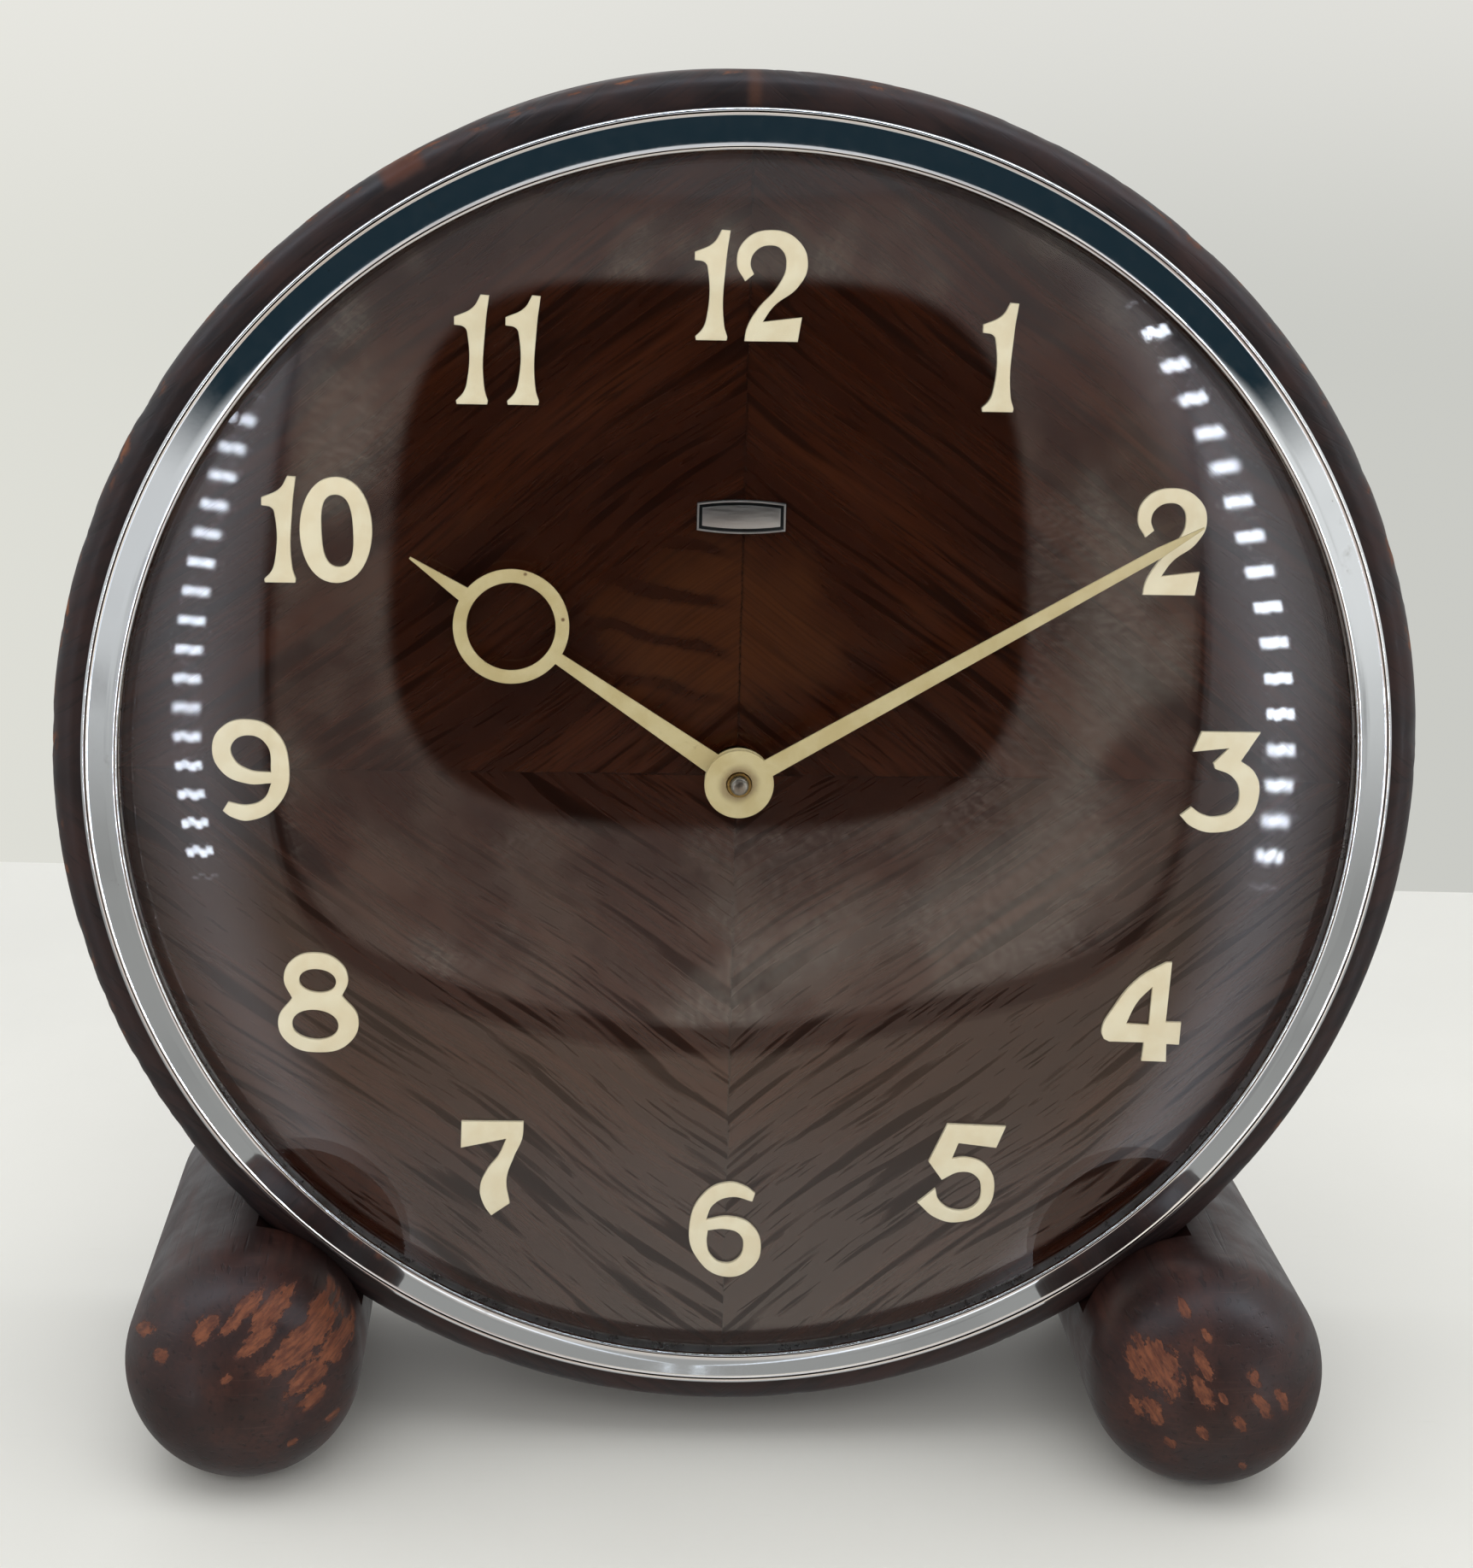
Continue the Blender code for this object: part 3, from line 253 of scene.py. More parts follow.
class Nodes:
    """Short ways to build one node tree."""

    def __init__(self, tree):
        self.tree = tree

    def make(self, kind, inputs=(), out=0, **settings):
        node = self.tree.nodes.new("ShaderNode" + kind)
        for name, value in settings.items():
            setattr(node, name, value)
        for key, value in dict(inputs).items():
            self.set(node.inputs[key], value)
        return node.outputs[out]

    def set(self, socket, value):
        if isinstance(value, bpy.types.NodeSocket):
            self.tree.links.new(value, socket)
        elif value is not None:
            socket.default_value = value

    def math(self, operation, a, b=None):
        return self.make("Math", {0: a, 1: b}, operation=operation)

    def plus(self, a, b):
        return self.math("ADD", a, b)

    def minus(self, a, b):
        return self.math("SUBTRACT", a, b)

    def times(self, a, b):
        return self.math("MULTIPLY", a, b)

    def larger(self, a, b):
        return self.math("MAXIMUM", a, b)

    def absolute(self, value):
        return self.math("ABSOLUTE", value)

    def vector(self, operation, a, b=None):
        out = 1 if operation == "LENGTH" else 0
        return self.make("VectorMath", {0: a, 1: b}, out, operation=operation)

    def scaled(self, vector, factors):
        return self.vector("MULTIPLY", vector, factors)

    def split(self, vector):
        node = self.make("SeparateXYZ", {0: vector}).node
        return node.outputs[0], node.outputs[1], node.outputs[2]

    def join(self, x, y, z):
        return self.make("CombineXYZ", {0: x, 1: y, 2: z})

    def noise(self, vector, scale=1.0, detail=2.0, rough=0.5):
        inputs = {"Vector": vector, "Scale": scale, "Detail": detail, "Roughness": rough}
        return self.make("TexNoise", inputs)


    def cells(self, vector, scale):
        return self.make("TexVoronoi", {"Vector": vector, "Scale": scale})

    def smooth(self, value, start, end, low=0.0, high=1.0):
        """0 to 1 as value goes from start to end; start may be the larger."""
        inputs = {0: value, 1: start, 2: end, 3: low, 4: high}
        if isinstance(start, float) and start > end:
            inputs = {0: value, 1: end, 2: start, 3: high, 4: low}
        return self.make("MapRange", inputs, interpolation_type="SMOOTHSTEP")

    def mix(self, factor, a, b):
        node = self.tree.nodes.new("ShaderNodeMix")
        node.data_type = "RGBA"
        for socket, value in ((node.inputs[0], factor), (node.inputs[6], a), (node.inputs[7], b)):
            self.set(socket, value)
        return node.outputs[2]

    def ramp(self, value, stops):
        node = self.make("ValToRGB", {0: value}).node
        ramp = node.color_ramp
        while len(ramp.elements) < len(stops):
            ramp.elements.new(0.5)
        for element, (at, colour) in zip(ramp.elements, stops):
            element.position = at
            element.color = colour
        return node.outputs[0]

    def bump(self, height, distance, strength=1.0, normal=None):
        inputs = {"Height": height, "Distance": distance * MM, "Strength": strength, "Normal": normal}
        return self.make("Bump", inputs)


class Look(Nodes):
    """A material: its Principled shader, and its object coordinates in millimetres."""

    def __init__(self, name):
        self.material = bpy.data.materials.new(name)
        self.material.use_nodes = True
        super().__init__(self.material.node_tree)
        self.shader = self.tree.nodes["Principled BSDF"]
        coordinates = self.make("TexCoord", out="Object")
        self.place = self.scaled(coordinates, (1000, 1000, 1000))
        LOOKS[name] = self.material

    def wobble(self, scale, detail, reach):
        """A noise of the place, about 0."""
        return self.times(self.minus(self.noise(self.place, scale, detail), 0.5), reach)

    def shade(self, **values):
        for name, value in values.items():
            self.set(self.shader.inputs[name.replace("_", " ")], value)


def rgb(red, green, blue):
    return (red, green, blue, 1)


LOOKS = {}


def matched_grain(n):
    """Quarter-matched leaves: the grain falls from the upright seam above the centre, and rises below it.

    Returns the place along and across the grain, with each leaf's own number as its third value.
    """
    x, y, _ = n.split(n.place)
    side, level = n.absolute(x), n.absolute(y)
    sway = n.wobble(0.016, 1, 9.0)
    run, fall = cos(GRAIN_ANGLE), sin(GRAIN_ANGLE)
    along = n.minus(n.times(side, run), n.times(level, fall))
    across = n.plus(n.times(side, fall), n.times(level, run))
    leaf = n.plus(n.times(n.math("SIGN", x), 0.21), n.times(n.math("SIGN", y), 0.83))
    return n.join(along, n.plus(across, sway), leaf)


def grain_marks(n, grain):
    """Fine fibres, and the dark streaks of open pores."""
    fibres = n.noise(n.scaled(grain, (0.07, 2.4, 3.0)), 1.0, 2, 0.6)
    streaks = n.smooth(n.noise(n.scaled(grain, (0.036, 0.62, 5.0)), 1.0, 1.5, 0.5), 0.53, 0.66)
    pores = n.smooth(n.noise(n.scaled(grain, (0.13, 1.9, 7.0)), 1.0, 1, 0.5), 0.60, 0.72)
    return fibres, streaks, pores


def veneer_look():
    """The polished face under the glass."""
    n = Look("veneer")
    x, y, _ = n.split(n.place)
    grain = matched_grain(n)
    fibres, streaks, pores = grain_marks(n, grain)
    bands = n.noise(n.scaled(grain, (0.010, 0.085, 1.0)), 1.0, 2, 0.55)
    stripes = n.noise(n.scaled(grain, (0.022, 0.36, 2.0)), 1.0, 3, 0.6)
    tone = n.plus(n.times(bands, 0.55), n.times(stripes, 0.45))
    colour = n.ramp(tone, [
        (0.34, rgb(0.0170, 0.0026, 0.0005)), (0.46, rgb(0.0245, 0.0044, 0.0008)),
        (0.56, rgb(0.0335, 0.0066, 0.0013)), (0.68, rgb(0.0450, 0.0102, 0.0022)),
    ])

    # a lighter flame in the wood above the hands, crossed by two dark curls on its left
    flame = n.vector("LENGTH", n.vector("SUBTRACT", n.scaled(n.place, (0.050, 0.070, 0)), (-0.15, 1.55, 0)))
    ragged = n.wobble(0.09, 2, 0.9)
    flame = n.smooth(n.plus(flame, ragged), 1.10, 0.50)
    slope = n.plus(y, n.times(x, 0.22))
    swing = n.wobble(0.10, 2, 5.0)
    curls = n.math("PINGPONG", n.plus(n.minus(slope, 17.5), swing), 3.6)
    curls = n.times(n.smooth(curls, 1.5, 0.4), n.smooth(x, 1.0, -5.0))
    plain = n.smooth(flame, 0.0, 0.8, 1.0, 0.25)
    flame_tone = n.mix(n.times(curls, 0.9), rgb(0.057, 0.0155, 0.0034), rgb(0.019, 0.0036, 0.0008))
    colour = n.mix(n.times(flame, 0.85), colour, flame_tone)

    dark = rgb(0.0050, 0.0011, 0.0004)
    marks = n.times(n.larger(n.times(streaks, 0.70), n.times(pores, 0.60)), plain)
    colour = n.mix(n.smooth(fibres, 0.38, 0.70, 0.0, 0.40), colour, rgb(0.0130, 0.0024, 0.0006))
    colour = n.mix(marks, colour, dark)
    wander = n.wobble(0.08, 2, 0.5)
    upright = n.smooth(n.absolute(n.plus(x, wander)), 0.30, 0.05)
    level_seam = n.smooth(n.absolute(n.plus(y, wander)), 0.25, 0.05)
    seam = n.larger(upright, n.times(level_seam, 0.8))
    colour = n.mix(n.times(seam, 0.55), colour, dark)
    relief = n.plus(n.times(pores, -0.6), n.times(fibres, 0.25))
    polish = n.noise(n.place, 0.05, 4, 0.6)
    n.shade(Base_Color=colour, Roughness=n.smooth(polish, 0.3, 0.7, 0.30, 0.42))
    n.shade(Normal=n.bump(relief, 0.03, 0.5), Specular_IOR_Level=0.10)
    n.shade(Coat_Weight=n.smooth(marks, 0.0, 0.6, 1.0, 0.05), Coat_Roughness=0.14, Coat_IOR=1.6)


def veneer_rim_look():
    """The face outside the bezel: darker, scuffed polish, with its arris rubbed through to bare wood."""
    n = Look("veneer_rim")
    x, y, _ = n.split(n.place)
    fibres, streaks, pores = grain_marks(n, matched_grain(n))
    radius = n.vector("LENGTH", n.scaled(n.place, (1, 1, 0)))
    scuff = n.noise(n.place, 0.09, 5, 0.62)
    colour = n.mix(n.smooth(scuff, 0.35, 0.68), rgb(0.0085, 0.0062, 0.0080), rgb(0.0260, 0.0105, 0.0095))
    colour = n.mix(n.smooth(fibres, 0.40, 0.72, 0.0, 0.5), colour, rgb(0.0290, 0.0110, 0.0080))
    dark = rgb(0.0045, 0.0030, 0.0035)
    colour = n.mix(n.times(streaks, 0.5), colour, dark)
    colour = n.mix(n.times(pores, 0.6), colour, dark)
    turn = n.math("ARCTAN2", y, x)

    def towards(degrees_up, start, end):
        return n.smooth(n.math("COSINE", n.minus(turn, radians(degrees_up))), start, end)

    worn = n.larger(towards(128, 0.80, 0.99), towards(38, 0.78, 0.98))
    worn = n.larger(worn, n.times(towards(178, 0.80, 0.98), 0.7))
    chip = n.times(towards(119.6, 0.99925, 0.99975), n.smooth(radius, 96.6, 98.2))
    rub = n.noise(n.scaled(n.place, (0.16, 0.16, 0.35)), 1.0, 5, 0.68)
    level_of_wear = n.plus(rub, n.times(worn, 0.08))
    wear = n.times(n.smooth(radius, 98.2, 99.8), n.smooth(level_of_wear, 0.61, 0.69))
    fine_edge = n.times(n.smooth(radius, 99.5, 99.95), n.smooth(rub, 0.42, 0.64, 0.0, 0.45))
    wear = n.larger(wear, n.larger(fine_edge, n.times(chip, 0.8)))
    bare = n.mix(n.smooth(rub, 0.5, 0.75), rgb(0.075, 0.022, 0.011), rgb(0.21, 0.075, 0.030))
    colour = n.mix(wear, colour, bare)
    top_seam = n.times(n.smooth(n.absolute(x), 1.5, 0.2), n.smooth(y, 94.0, 96.0))
    colour = n.mix(n.times(top_seam, 0.5), colour, rgb(0.085, 0.030, 0.014))
    rough = n.plus(n.smooth(scuff, 0.3, 0.7, 0.42, 0.60), n.times(wear, 0.25))
    relief = n.plus(n.times(pores, -0.6), n.times(fibres, 0.25))
    relief = n.minus(relief, n.times(wear, 0.9))
    ripples = n.bump(n.noise(n.place, 0.06, 2), 0.10, 0.5)
    n.shade(Base_Color=colour, Roughness=rough, Normal=n.bump(relief, 0.05, 0.7, ripples))
    n.shade(Specular_IOR_Level=0.42, Coat_Weight=0.06, Coat_Roughness=0.25)


def wood_look(name, patches=(), streak_deg=0.0, seed=0.0):
    """Dark stained solid wood, its grain along the z axis, with patches where the stain is rubbed off."""
    n = Look(name)
    shifted = n.vector("ADD", n.place, (seed, seed * 0.7, seed * 1.3))
    bands = n.noise(n.scaled(shifted, (0.16, 0.16, 0.012)), 1.0, 4, 0.6)
    fibres = n.noise(n.scaled(shifted, (1.6, 1.6, 0.05)), 1.0, 3, 0.6)
    pores = n.smooth(n.noise(n.scaled(shifted, (1.1, 1.1, 0.05)), 1.0, 2), 0.58, 0.70)
    blotch = n.noise(shifted, 0.11, 4, 0.6)
    colour = n.ramp(n.plus(n.times(bands, 0.5), n.times(blotch, 0.5)), [
        (0.32, rgb(0.0105, 0.0052, 0.0052)), (0.50, rgb(0.024, 0.0085, 0.0070)),
        (0.66, rgb(0.052, 0.0160, 0.0100)),
    ])
    colour = n.mix(n.smooth(fibres, 0.4, 0.7, 0.0, 0.5), colour, rgb(0.012, 0.0052, 0.0046))
    colour = n.mix(n.times(pores, 0.6), colour, rgb(0.006, 0.0034, 0.0032))
    rough = n.smooth(blotch, 0.3, 0.7, 0.40, 0.58)
    relief = n.plus(n.times(fibres, 0.4), n.times(pores, -0.7))
    if patches:
        scratched = n.make("Mapping", {
            "Vector": shifted, "Rotation": (0, 0, 0.5), "Scale": (0.06, 2.6, 0.5),
        })
        scratches = n.smooth(n.noise(scratched, 1.0, 2, 0.6), 0.60, 0.68, 0.0, 0.35)
        colour = n.mix(scratches, colour, rgb(0.060, 0.028, 0.022))
        angle = radians(streak_deg)
        turned = n.make("Mapping", {"Vector": n.place, "Rotation": (0, 0, -angle)})
        streaks = n.noise(n.scaled(turned, (0.40, 1.30, 0.0)), 1.0, 4, 0.68)
        ragged = n.noise(n.scaled(turned, (0.62, 0.75, 0.2)), 1.0, 4, 0.7)
        nearest = None
        for px, py, length, width in patches:
            inside = n.make("Mapping", {
                "Vector": n.place, "Location": (px, py, 0), "Rotation": (0, 0, angle),
                "Scale": (length, width, 500),
            }, vector_type="TEXTURE")
            distance = n.vector("LENGTH", n.scaled(inside, (1, 1, 0)))
            nearest = distance if nearest is None else n.math("MINIMUM", nearest, distance)
        level = n.plus(nearest, n.times(n.minus(streaks, 0.5), 1.7))
        level = n.plus(level, n.times(n.minus(ragged, 0.5), 2.3))
        on_dome = n.smooth(n.split(n.place)[2], 5.0, 8.0)
        bare = n.times(n.smooth(level, 1.02, 0.88), on_dome)
        halo = n.times(n.smooth(level, 1.7, 0.9, 0.0, 0.6), on_dome)
        wood = n.mix(n.smooth(streaks, 0.30, 0.66), rgb(0.050, 0.014, 0.008), rgb(0.190, 0.060, 0.025))
        wood = n.mix(n.smooth(ragged, 0.45, 0.62, 0.0, 0.5), wood, rgb(0.105, 0.027, 0.011))
        colour = n.mix(halo, colour, rgb(0.040, 0.0125, 0.0085))
        colour = n.mix(bare, colour, wood)
        rough = n.mix(bare, rough, (0.62, 0.62, 0.62, 1))
        relief = n.minus(relief, n.times(bare, 2.2))
        relief = n.plus(relief, n.times(n.times(streaks, bare), 1.2))
    dents = n.bump(n.noise(shifted, 0.16, 3, 0.55), 0.22, 0.5)
    n.shade(Base_Color=colour, Roughness=rough, Normal=n.bump(relief, 0.06, 0.8, dents))
    n.shade(Coat_Weight=0.06, Coat_Roughness=0.3, Specular_IOR_Level=0.42)


def board_look():
    n = Look("board")
    fibres = n.noise(n.scaled(n.place, (0.9, 0.5, 0.9)), 1.0, 6, 0.75)
    blotch = n.noise(n.place, 0.03, 3)
    colour = n.ramp(n.plus(n.times(fibres, 0.7), n.times(blotch, 0.3)), [
        (0.35, rgb(0.10, 0.055, 0.028)), (0.50, rgb(0.17, 0.100, 0.052)), (0.66, rgb(0.25, 0.155, 0.085)),
    ])
    n.shade(Base_Color=colour, Roughness=n.smooth(fibres, 0.3, 0.7, 0.62, 0.85))
    n.shade(Normal=n.bump(fibres, 0.08, 0.6))


def metal_look(
        name, base, dull, rough_low, rough_high, dull_from=0.55, scratch=0.02, brushed=(0.6, 0.6, 0.6)):
    """Bright metal with cloudy dulling, fine scratches and small pits."""
    n = Look(name)
    cloud = n.noise(n.place, 0.10, 5, 0.62)
    lines = n.noise(n.scaled(n.place, brushed), 1.0, 4, 0.7)
    pits = n.smooth(n.cells(n.place, 0.55), 0.10, 0.04)
    spots = n.times(pits, n.smooth(n.noise(n.place, 0.18, 2), 0.55, 0.65))
    stain = n.larger(n.smooth(cloud, dull_from, dull_from + 0.18), spots)
    n.shade(Base_Color=n.mix(stain, rgb(*base), rgb(*dull)), Metallic=1.0)
    n.shade(Roughness=n.plus(n.smooth(lines, 0.3, 0.7, rough_low, rough_high), n.times(stain, 0.12)))
    height = n.minus(lines, n.times(spots, 2.0))
    n.shade(Normal=n.bump(height, scratch, 0.35))


def paint_look(name, base, aged, dirt, dirt_from, rough, darkening_reach=0.0):
    """Old cream paint, mottled and flecked with dirt; on the hands, the paint is darker round the arbor."""
    n = Look(name)
    mottle = n.noise(n.place, 0.22, 4, 0.6)
    grain = n.noise(n.place, 2.4, 3, 0.6)
    colour = n.mix(n.smooth(mottle, 0.34, 0.68), rgb(*base), rgb(*aged))
    specks = n.smooth(n.cells(n.vector("ADD", n.place, (3, 7, 0)), 0.42), 0.16, 0.06)
    specks = n.times(specks, n.smooth(n.noise(n.place, 0.30, 3), dirt_from, dirt_from + 0.08))
    smudge = n.smooth(n.noise(n.place, 0.55, 5, 0.7), dirt_from + 0.06, dirt_from + 0.2, 0.0, 0.5)
    colour = n.mix(n.larger(specks, smudge), colour, rgb(*dirt))
    if darkening_reach:
        # the paint turns darker towards the arbor, inside a ragged edge about the given reach from it
        from_arbor = n.vector("LENGTH", n.scaled(n.place, (1, 1, 0)))
        darkening_edge = n.plus(from_arbor, n.times(mottle, 2.4))
        arbor_darkening = n.smooth(darkening_edge, darkening_reach + 1.2, darkening_reach - 0.2, 0.0, 0.6)
        colour = n.mix(arbor_darkening, colour, rgb(*dirt))
    n.shade(Base_Color=colour, Roughness=n.smooth(grain, 0.3, 0.7, rough - 0.06, rough + 0.1))
    n.shade(Normal=n.bump(n.minus(grain, specks), 0.03, 0.5))


def glass_look():
    """Clear glass, which mirrors more at a glancing angle, with faint smears."""
    n = Look("glass")
    n.tree.nodes.remove(n.shader)
    smears = n.noise(n.scaled(n.place, (0.02, 0.07, 0.02)), 1.0, 5, 0.65)
    facing = n.make("LayerWeight", {"Blend": 0.5}, out=1)
    head_on, glancing = 0.028, 0.97
    mirror = n.plus(n.times(n.math("POWER", facing, 5.0), glancing), head_on)
    clear = n.make("BsdfTransparent", {"Color": rgb(0.985, 0.99, 0.985)})
    gloss = n.make("BsdfAnisotropic", {
        "Color": rgb(1, 1, 1), "Roughness": n.smooth(smears, 0.3, 0.75, 0.012, 0.05),
        "Normal": n.bump(n.noise(n.place, 0.02, 2), 0.02, 0.15),
    })
    mixed = n.make("MixShader", {0: mirror, 1: clear, 2: gloss})
    n.set(n.tree.nodes["Material Output"].inputs["Surface"], mixed)


# Rubbed patches on each foot's end: (x, y, length, width) from the foot's own axis
LEFT_PATCHES = [
    (1.8, 13.1, 2.6, 1.0), (-0.4, 11.1, 2.0, 0.9), (5.4, 12.5, 3.2, 1.4), (10.6, 8.3, 4.6, 2.4),
    (14.3, 5.6, 2.6, 1.8), (3.4, 9.1, 3.0, 1.1), (7.2, 6.4, 3.6, 1.8), (10.8, 3.2, 3.4, 1.8),
    (11.4, -0.4, 2.4, 1.2), (-13.6, 7.8, 2.0, 0.7), (-4.4, 10.2, 2.4, 1.2), (-10.7, 5.8, 1.2, 0.9),
    (-0.7, 4.4, 1.0, 0.6), (11.8, 11.3, 2.0, 1.0), (14.0, -4.9, 1.3, 0.7), (8.4, -7.2, 0.9, 0.5),
]
RIGHT_PATCHES = [
    (-5.6, 13.5, 1.0, 0.9), (-9.3, 5.8, 3.8, 2.8), (-12.4, 5.3, 2.2, 1.1), (-3.3, 7.0, 2.4, 1.0),
    (-3.5, 3.6, 2.6, 1.1), (3.9, 5.6, 1.4, 0.8), (5.3, 1.5, 2.6, 0.9), (8.6, 1.7, 2.0, 0.8),
    (-9.9, -0.5, 2.4, 1.2), (-12.3, -0.7, 1.4, 0.8), (-3.3, -2.8, 1.4, 0.7), (2.1, -1.2, 1.6, 0.7),
    (-7.3, -5.3, 1.3, 0.7), (3.7, -9.3, 1.0, 0.5), (-0.6, 2.8, 1.0, 0.5), (-2.7, 10.8, 1.0, 0.5),
]

veneer_look()
veneer_rim_look()
wood_look("stained_wood", seed=11.0)
wood_look("foot_left_wood", LEFT_PATCHES, 33.0, seed=3.0)
wood_look("foot_right_wood", RIGHT_PATCHES, -58.0, seed=29.0)
board_look()
metal_look("chrome", (0.80, 0.82, 0.83), (0.46, 0.45, 0.42), 0.045, 0.10, 0.66, 0.008, (0.5, 0.5, 0.5))
metal_look("steel", (0.50, 0.50, 0.51), (0.26, 0.23, 0.20), 0.24, 0.38, 0.55)
metal_look("arbor_steel", (0.34, 0.31, 0.27), (0.12, 0.09, 0.07), 0.30, 0.44, 0.50)
metal_look("blued_steel", (0.055, 0.070, 0.13), (0.10, 0.07, 0.05), 0.22, 0.34, 0.62)
metal_look("brass", (0.66, 0.46, 0.17), (0.30, 0.19, 0.08), 0.24, 0.38, 0.50)
metal_look("badge_silver", (0.60, 0.62, 0.65), (0.38, 0.38, 0.38), 0.28, 0.40, 0.58, 0.01, (0.4, 5.0, 0.4))
metal_look("badge_edge", (0.03, 0.035, 0.04), (0.015, 0.012, 0.010), 0.30, 0.42)
paint_look("ivory", (0.85, 0.765, 0.575), (0.79, 0.68, 0.48), (0.28, 0.19, 0.11), 0.66, 0.40)
paint_look("hand_paint", (0.59, 0.495, 0.28), (0.52, 0.415, 0.21), (0.16, 0.085, 0.035), 0.58, 0.40, 3.2)
glass_look()

for row in frame["record"]["subparts"]:
    for material_slot in frame["nodes"][row["node"]].material_slots:
        material_slot.material = LOOKS[row["material_slot"]]


# ---- case ----


def make_front_panel():
    reach, back, chamfer = CASE_R - PANEL_FLAT_R, -PANEL_THICK, 0.4
    angles = [pi / 2 * i / 14 for i in range(15)]
    edge = [(PANEL_FLAT_R + reach * sin(a), -PANEL_EDGE_DEPTH * (1 - cos(a))) for a in angles]
    face = [(radius, 0.0) for radius in (PANEL_HOLE_R, 40.0, 80.0, 94.5)]
    rear = [(CASE_R, back + chamfer), (CASE_R - chamfer, back), (PANEL_HOLE_R, back)]
    mesh = lathe(face + edge + rear, FINE_STEPS)
    # years of knocks have flattened the edge here and there
    for vertex in mesh.vertices:
        x, y, z = vertex.co / MM
        radius = hypot(x, y)
        if radius < PANEL_FLAT_R + 0.5 or z < back + 0.2:
            continue
        knock = noise.noise(Vector((x * 0.11, y * 0.11, z * 0.2)))
        knock += 0.5 * noise.noise(Vector((x, y, z)) * 0.45)
        depth = 0.35 * max(0.0, knock - 0.15) + 0.05 * noise.noise(Vector((x, y, z)) * 1.4)
        vertex.co.xy *= 1 - max(depth, 0.0) / radius
    place("case_face", mesh, "veneer", "case", stands_for=["front_panel"])
    mesh.materials.append(LOOKS["veneer_rim"])
    for polygon in mesh.polygons:
        polygon.material_index = int(hypot(*polygon.center.xy) > BEZEL_R * MM)


def make_case_drum():
    low, high = local_box("case_drum")
    outer, back, front = high.x, low.z, high.z
    ledge = back + COVER_REBATE_DEPTH
    corners = [
        (DRUM_INNER_R, front), (outer, front), (outer, back), (COVER_REBATE_R, back),
        (COVER_REBATE_R, ledge), (DRUM_INNER_R, ledge),
    ]
    mesh = lathe(soften(corners, 0.6, 3), 384)
    place("case_side", mesh, "stained_wood", "case", stands_for=["case_drum"])


def make_back_cover():
    low, high = local_box("back_cover")
    radius = (high.x - low.x) / 2
    winding = middle("winding_arbor")
    balance = middle("balance_wheel")
    knob_hole_r, key_hole_r, screw_hole_r, slot_outer_r, slot_inner_r = 3.0, 5.2, 1.3, 15.5, 10.5
    slot_start, slot_end = radians(60), radians(120)
    holes = [circle(knob_hole_r), circle(key_hole_r, winding.x, winding.y)]
    for number in (1, 2, 3):
        screw = middle(f"back_cover_screw_{number}")
        holes.append(circle(screw_hole_r, screw.x, screw.y, 24))
    outer = arc(slot_outer_r, slot_start, slot_end, 20, balance.x, balance.y)
    inner = arc(slot_inner_r, slot_end, slot_start, 20, balance.x, balance.y)
    holes.append(soften(outer + inner, 1.2, 3))
    mesh = flat([circle(radius, steps=360), *holes], low.z, high.z, 0.25)
    place("rear_board", mesh, "board", "case", stands_for=["back_cover"])


def make_cover_screws():
    for number in (1, 2, 3):
        node = f"back_cover_screw_{number}"
        low, high = local_box(node)
        at = (low + high) / 2
        shank_r, head_r, head_height, dome = 0.9, 2.0, 1.3, 0.8
        seat = low.z + head_height
        angles = [radians(15 * i) for i in range(6)]
        profile = [(0.0, high.z), (shank_r, high.z - 1), (shank_r, seat), (head_r, seat)]
        profile += [(head_r * cos(a), low.z + dome - dome * sin(a)) for a in angles]
        mesh = lathe(profile + [(0.0, low.z)], 48)
        slot = flat([[(-3, -0.22), (3, -0.22), (3, 0.22), (-3, 0.22)]], low.z - 1, low.z + 0.55)
        mesh = combined(mesh, slot, "DIFFERENCE")
        turn = number * 1.1
        place(f"cover_screw_{number}", mesh, "steel", "case", at.x, at.y, turn, stands_for=[node])


def make_feet():
    for side, look in (("left", "foot_left_wood"), ("right", "foot_right_wood")):
        low, high = local_box(f"foot_{side}")
        x, y = (low.x + high.x) / 2, low.y - FOOT_FLAT + FOOT_R
        back = low.z
        angles = [pi / 2 * i / 36 for i in range(37)]
        profile = [(FOOT_R * sin(a), FOOT_DOME_AT + FOOT_R * cos(a)) for a in angles]
        profile += [(FOOT_R, z) for z in (4.0, 0.0, -8.0, -24.0, -40.0)]
        profile += [(FOOT_R, back + 1.0), (FOOT_R - 0.3, back + 0.35), (FOOT_R - 1.0, back), (0.0, back)]
        mesh = lathe(profile, 144)
        seat_r, seat_front = CASE_R + FOOT_GAP, FOOT_GAP
        seat = [(0.0, seat_front), (seat_r, seat_front), (seat_r, back - 1), (0.0, back - 1)]
        seat = lathe(seat, FINE_STEPS)
        mesh = combined(mesh, seat, "DIFFERENCE", Matrix.Translation(Vector((-x, -y, 0)) * MM))
        below = [(-30, -30), (30, -30), (30, -FOOT_R + FOOT_FLAT), (-30, -FOOT_R + FOOT_FLAT)]
        mesh = combined(mesh, flat([below], back - 5, 40), "DIFFERENCE")
        place(f"dowel_foot_{side}", mesh, look, "case", x, y, stands_for=[f"foot_{side}"])


def make_bezel():
    inner_bead = arc(0.45, radians(200), radians(60), 10, LIP_R + 0.45, 4.35)
    band = [(90.35, 4.62), (91.5, 3.915), (92.7, 3.18), (93.93, 2.427)]
    outer_bead = arc(0.62, radians(130), radians(-15), 16, 94.38, 1.98)
    skirt = [
        (BEZEL_R, 1.6), (BEZEL_R, 0.4), (94.85, 0.3), (94.2, 0.3), (94.2, 1.2), (91.3, 3.0), (LIP_R, 3.95),
    ]
    mesh = lathe(inner_bead + band + outer_bead + skirt, FINE_STEPS, 40)
    place("bezel_ring", mesh, "chrome", "case", stands_for=["bezel"])


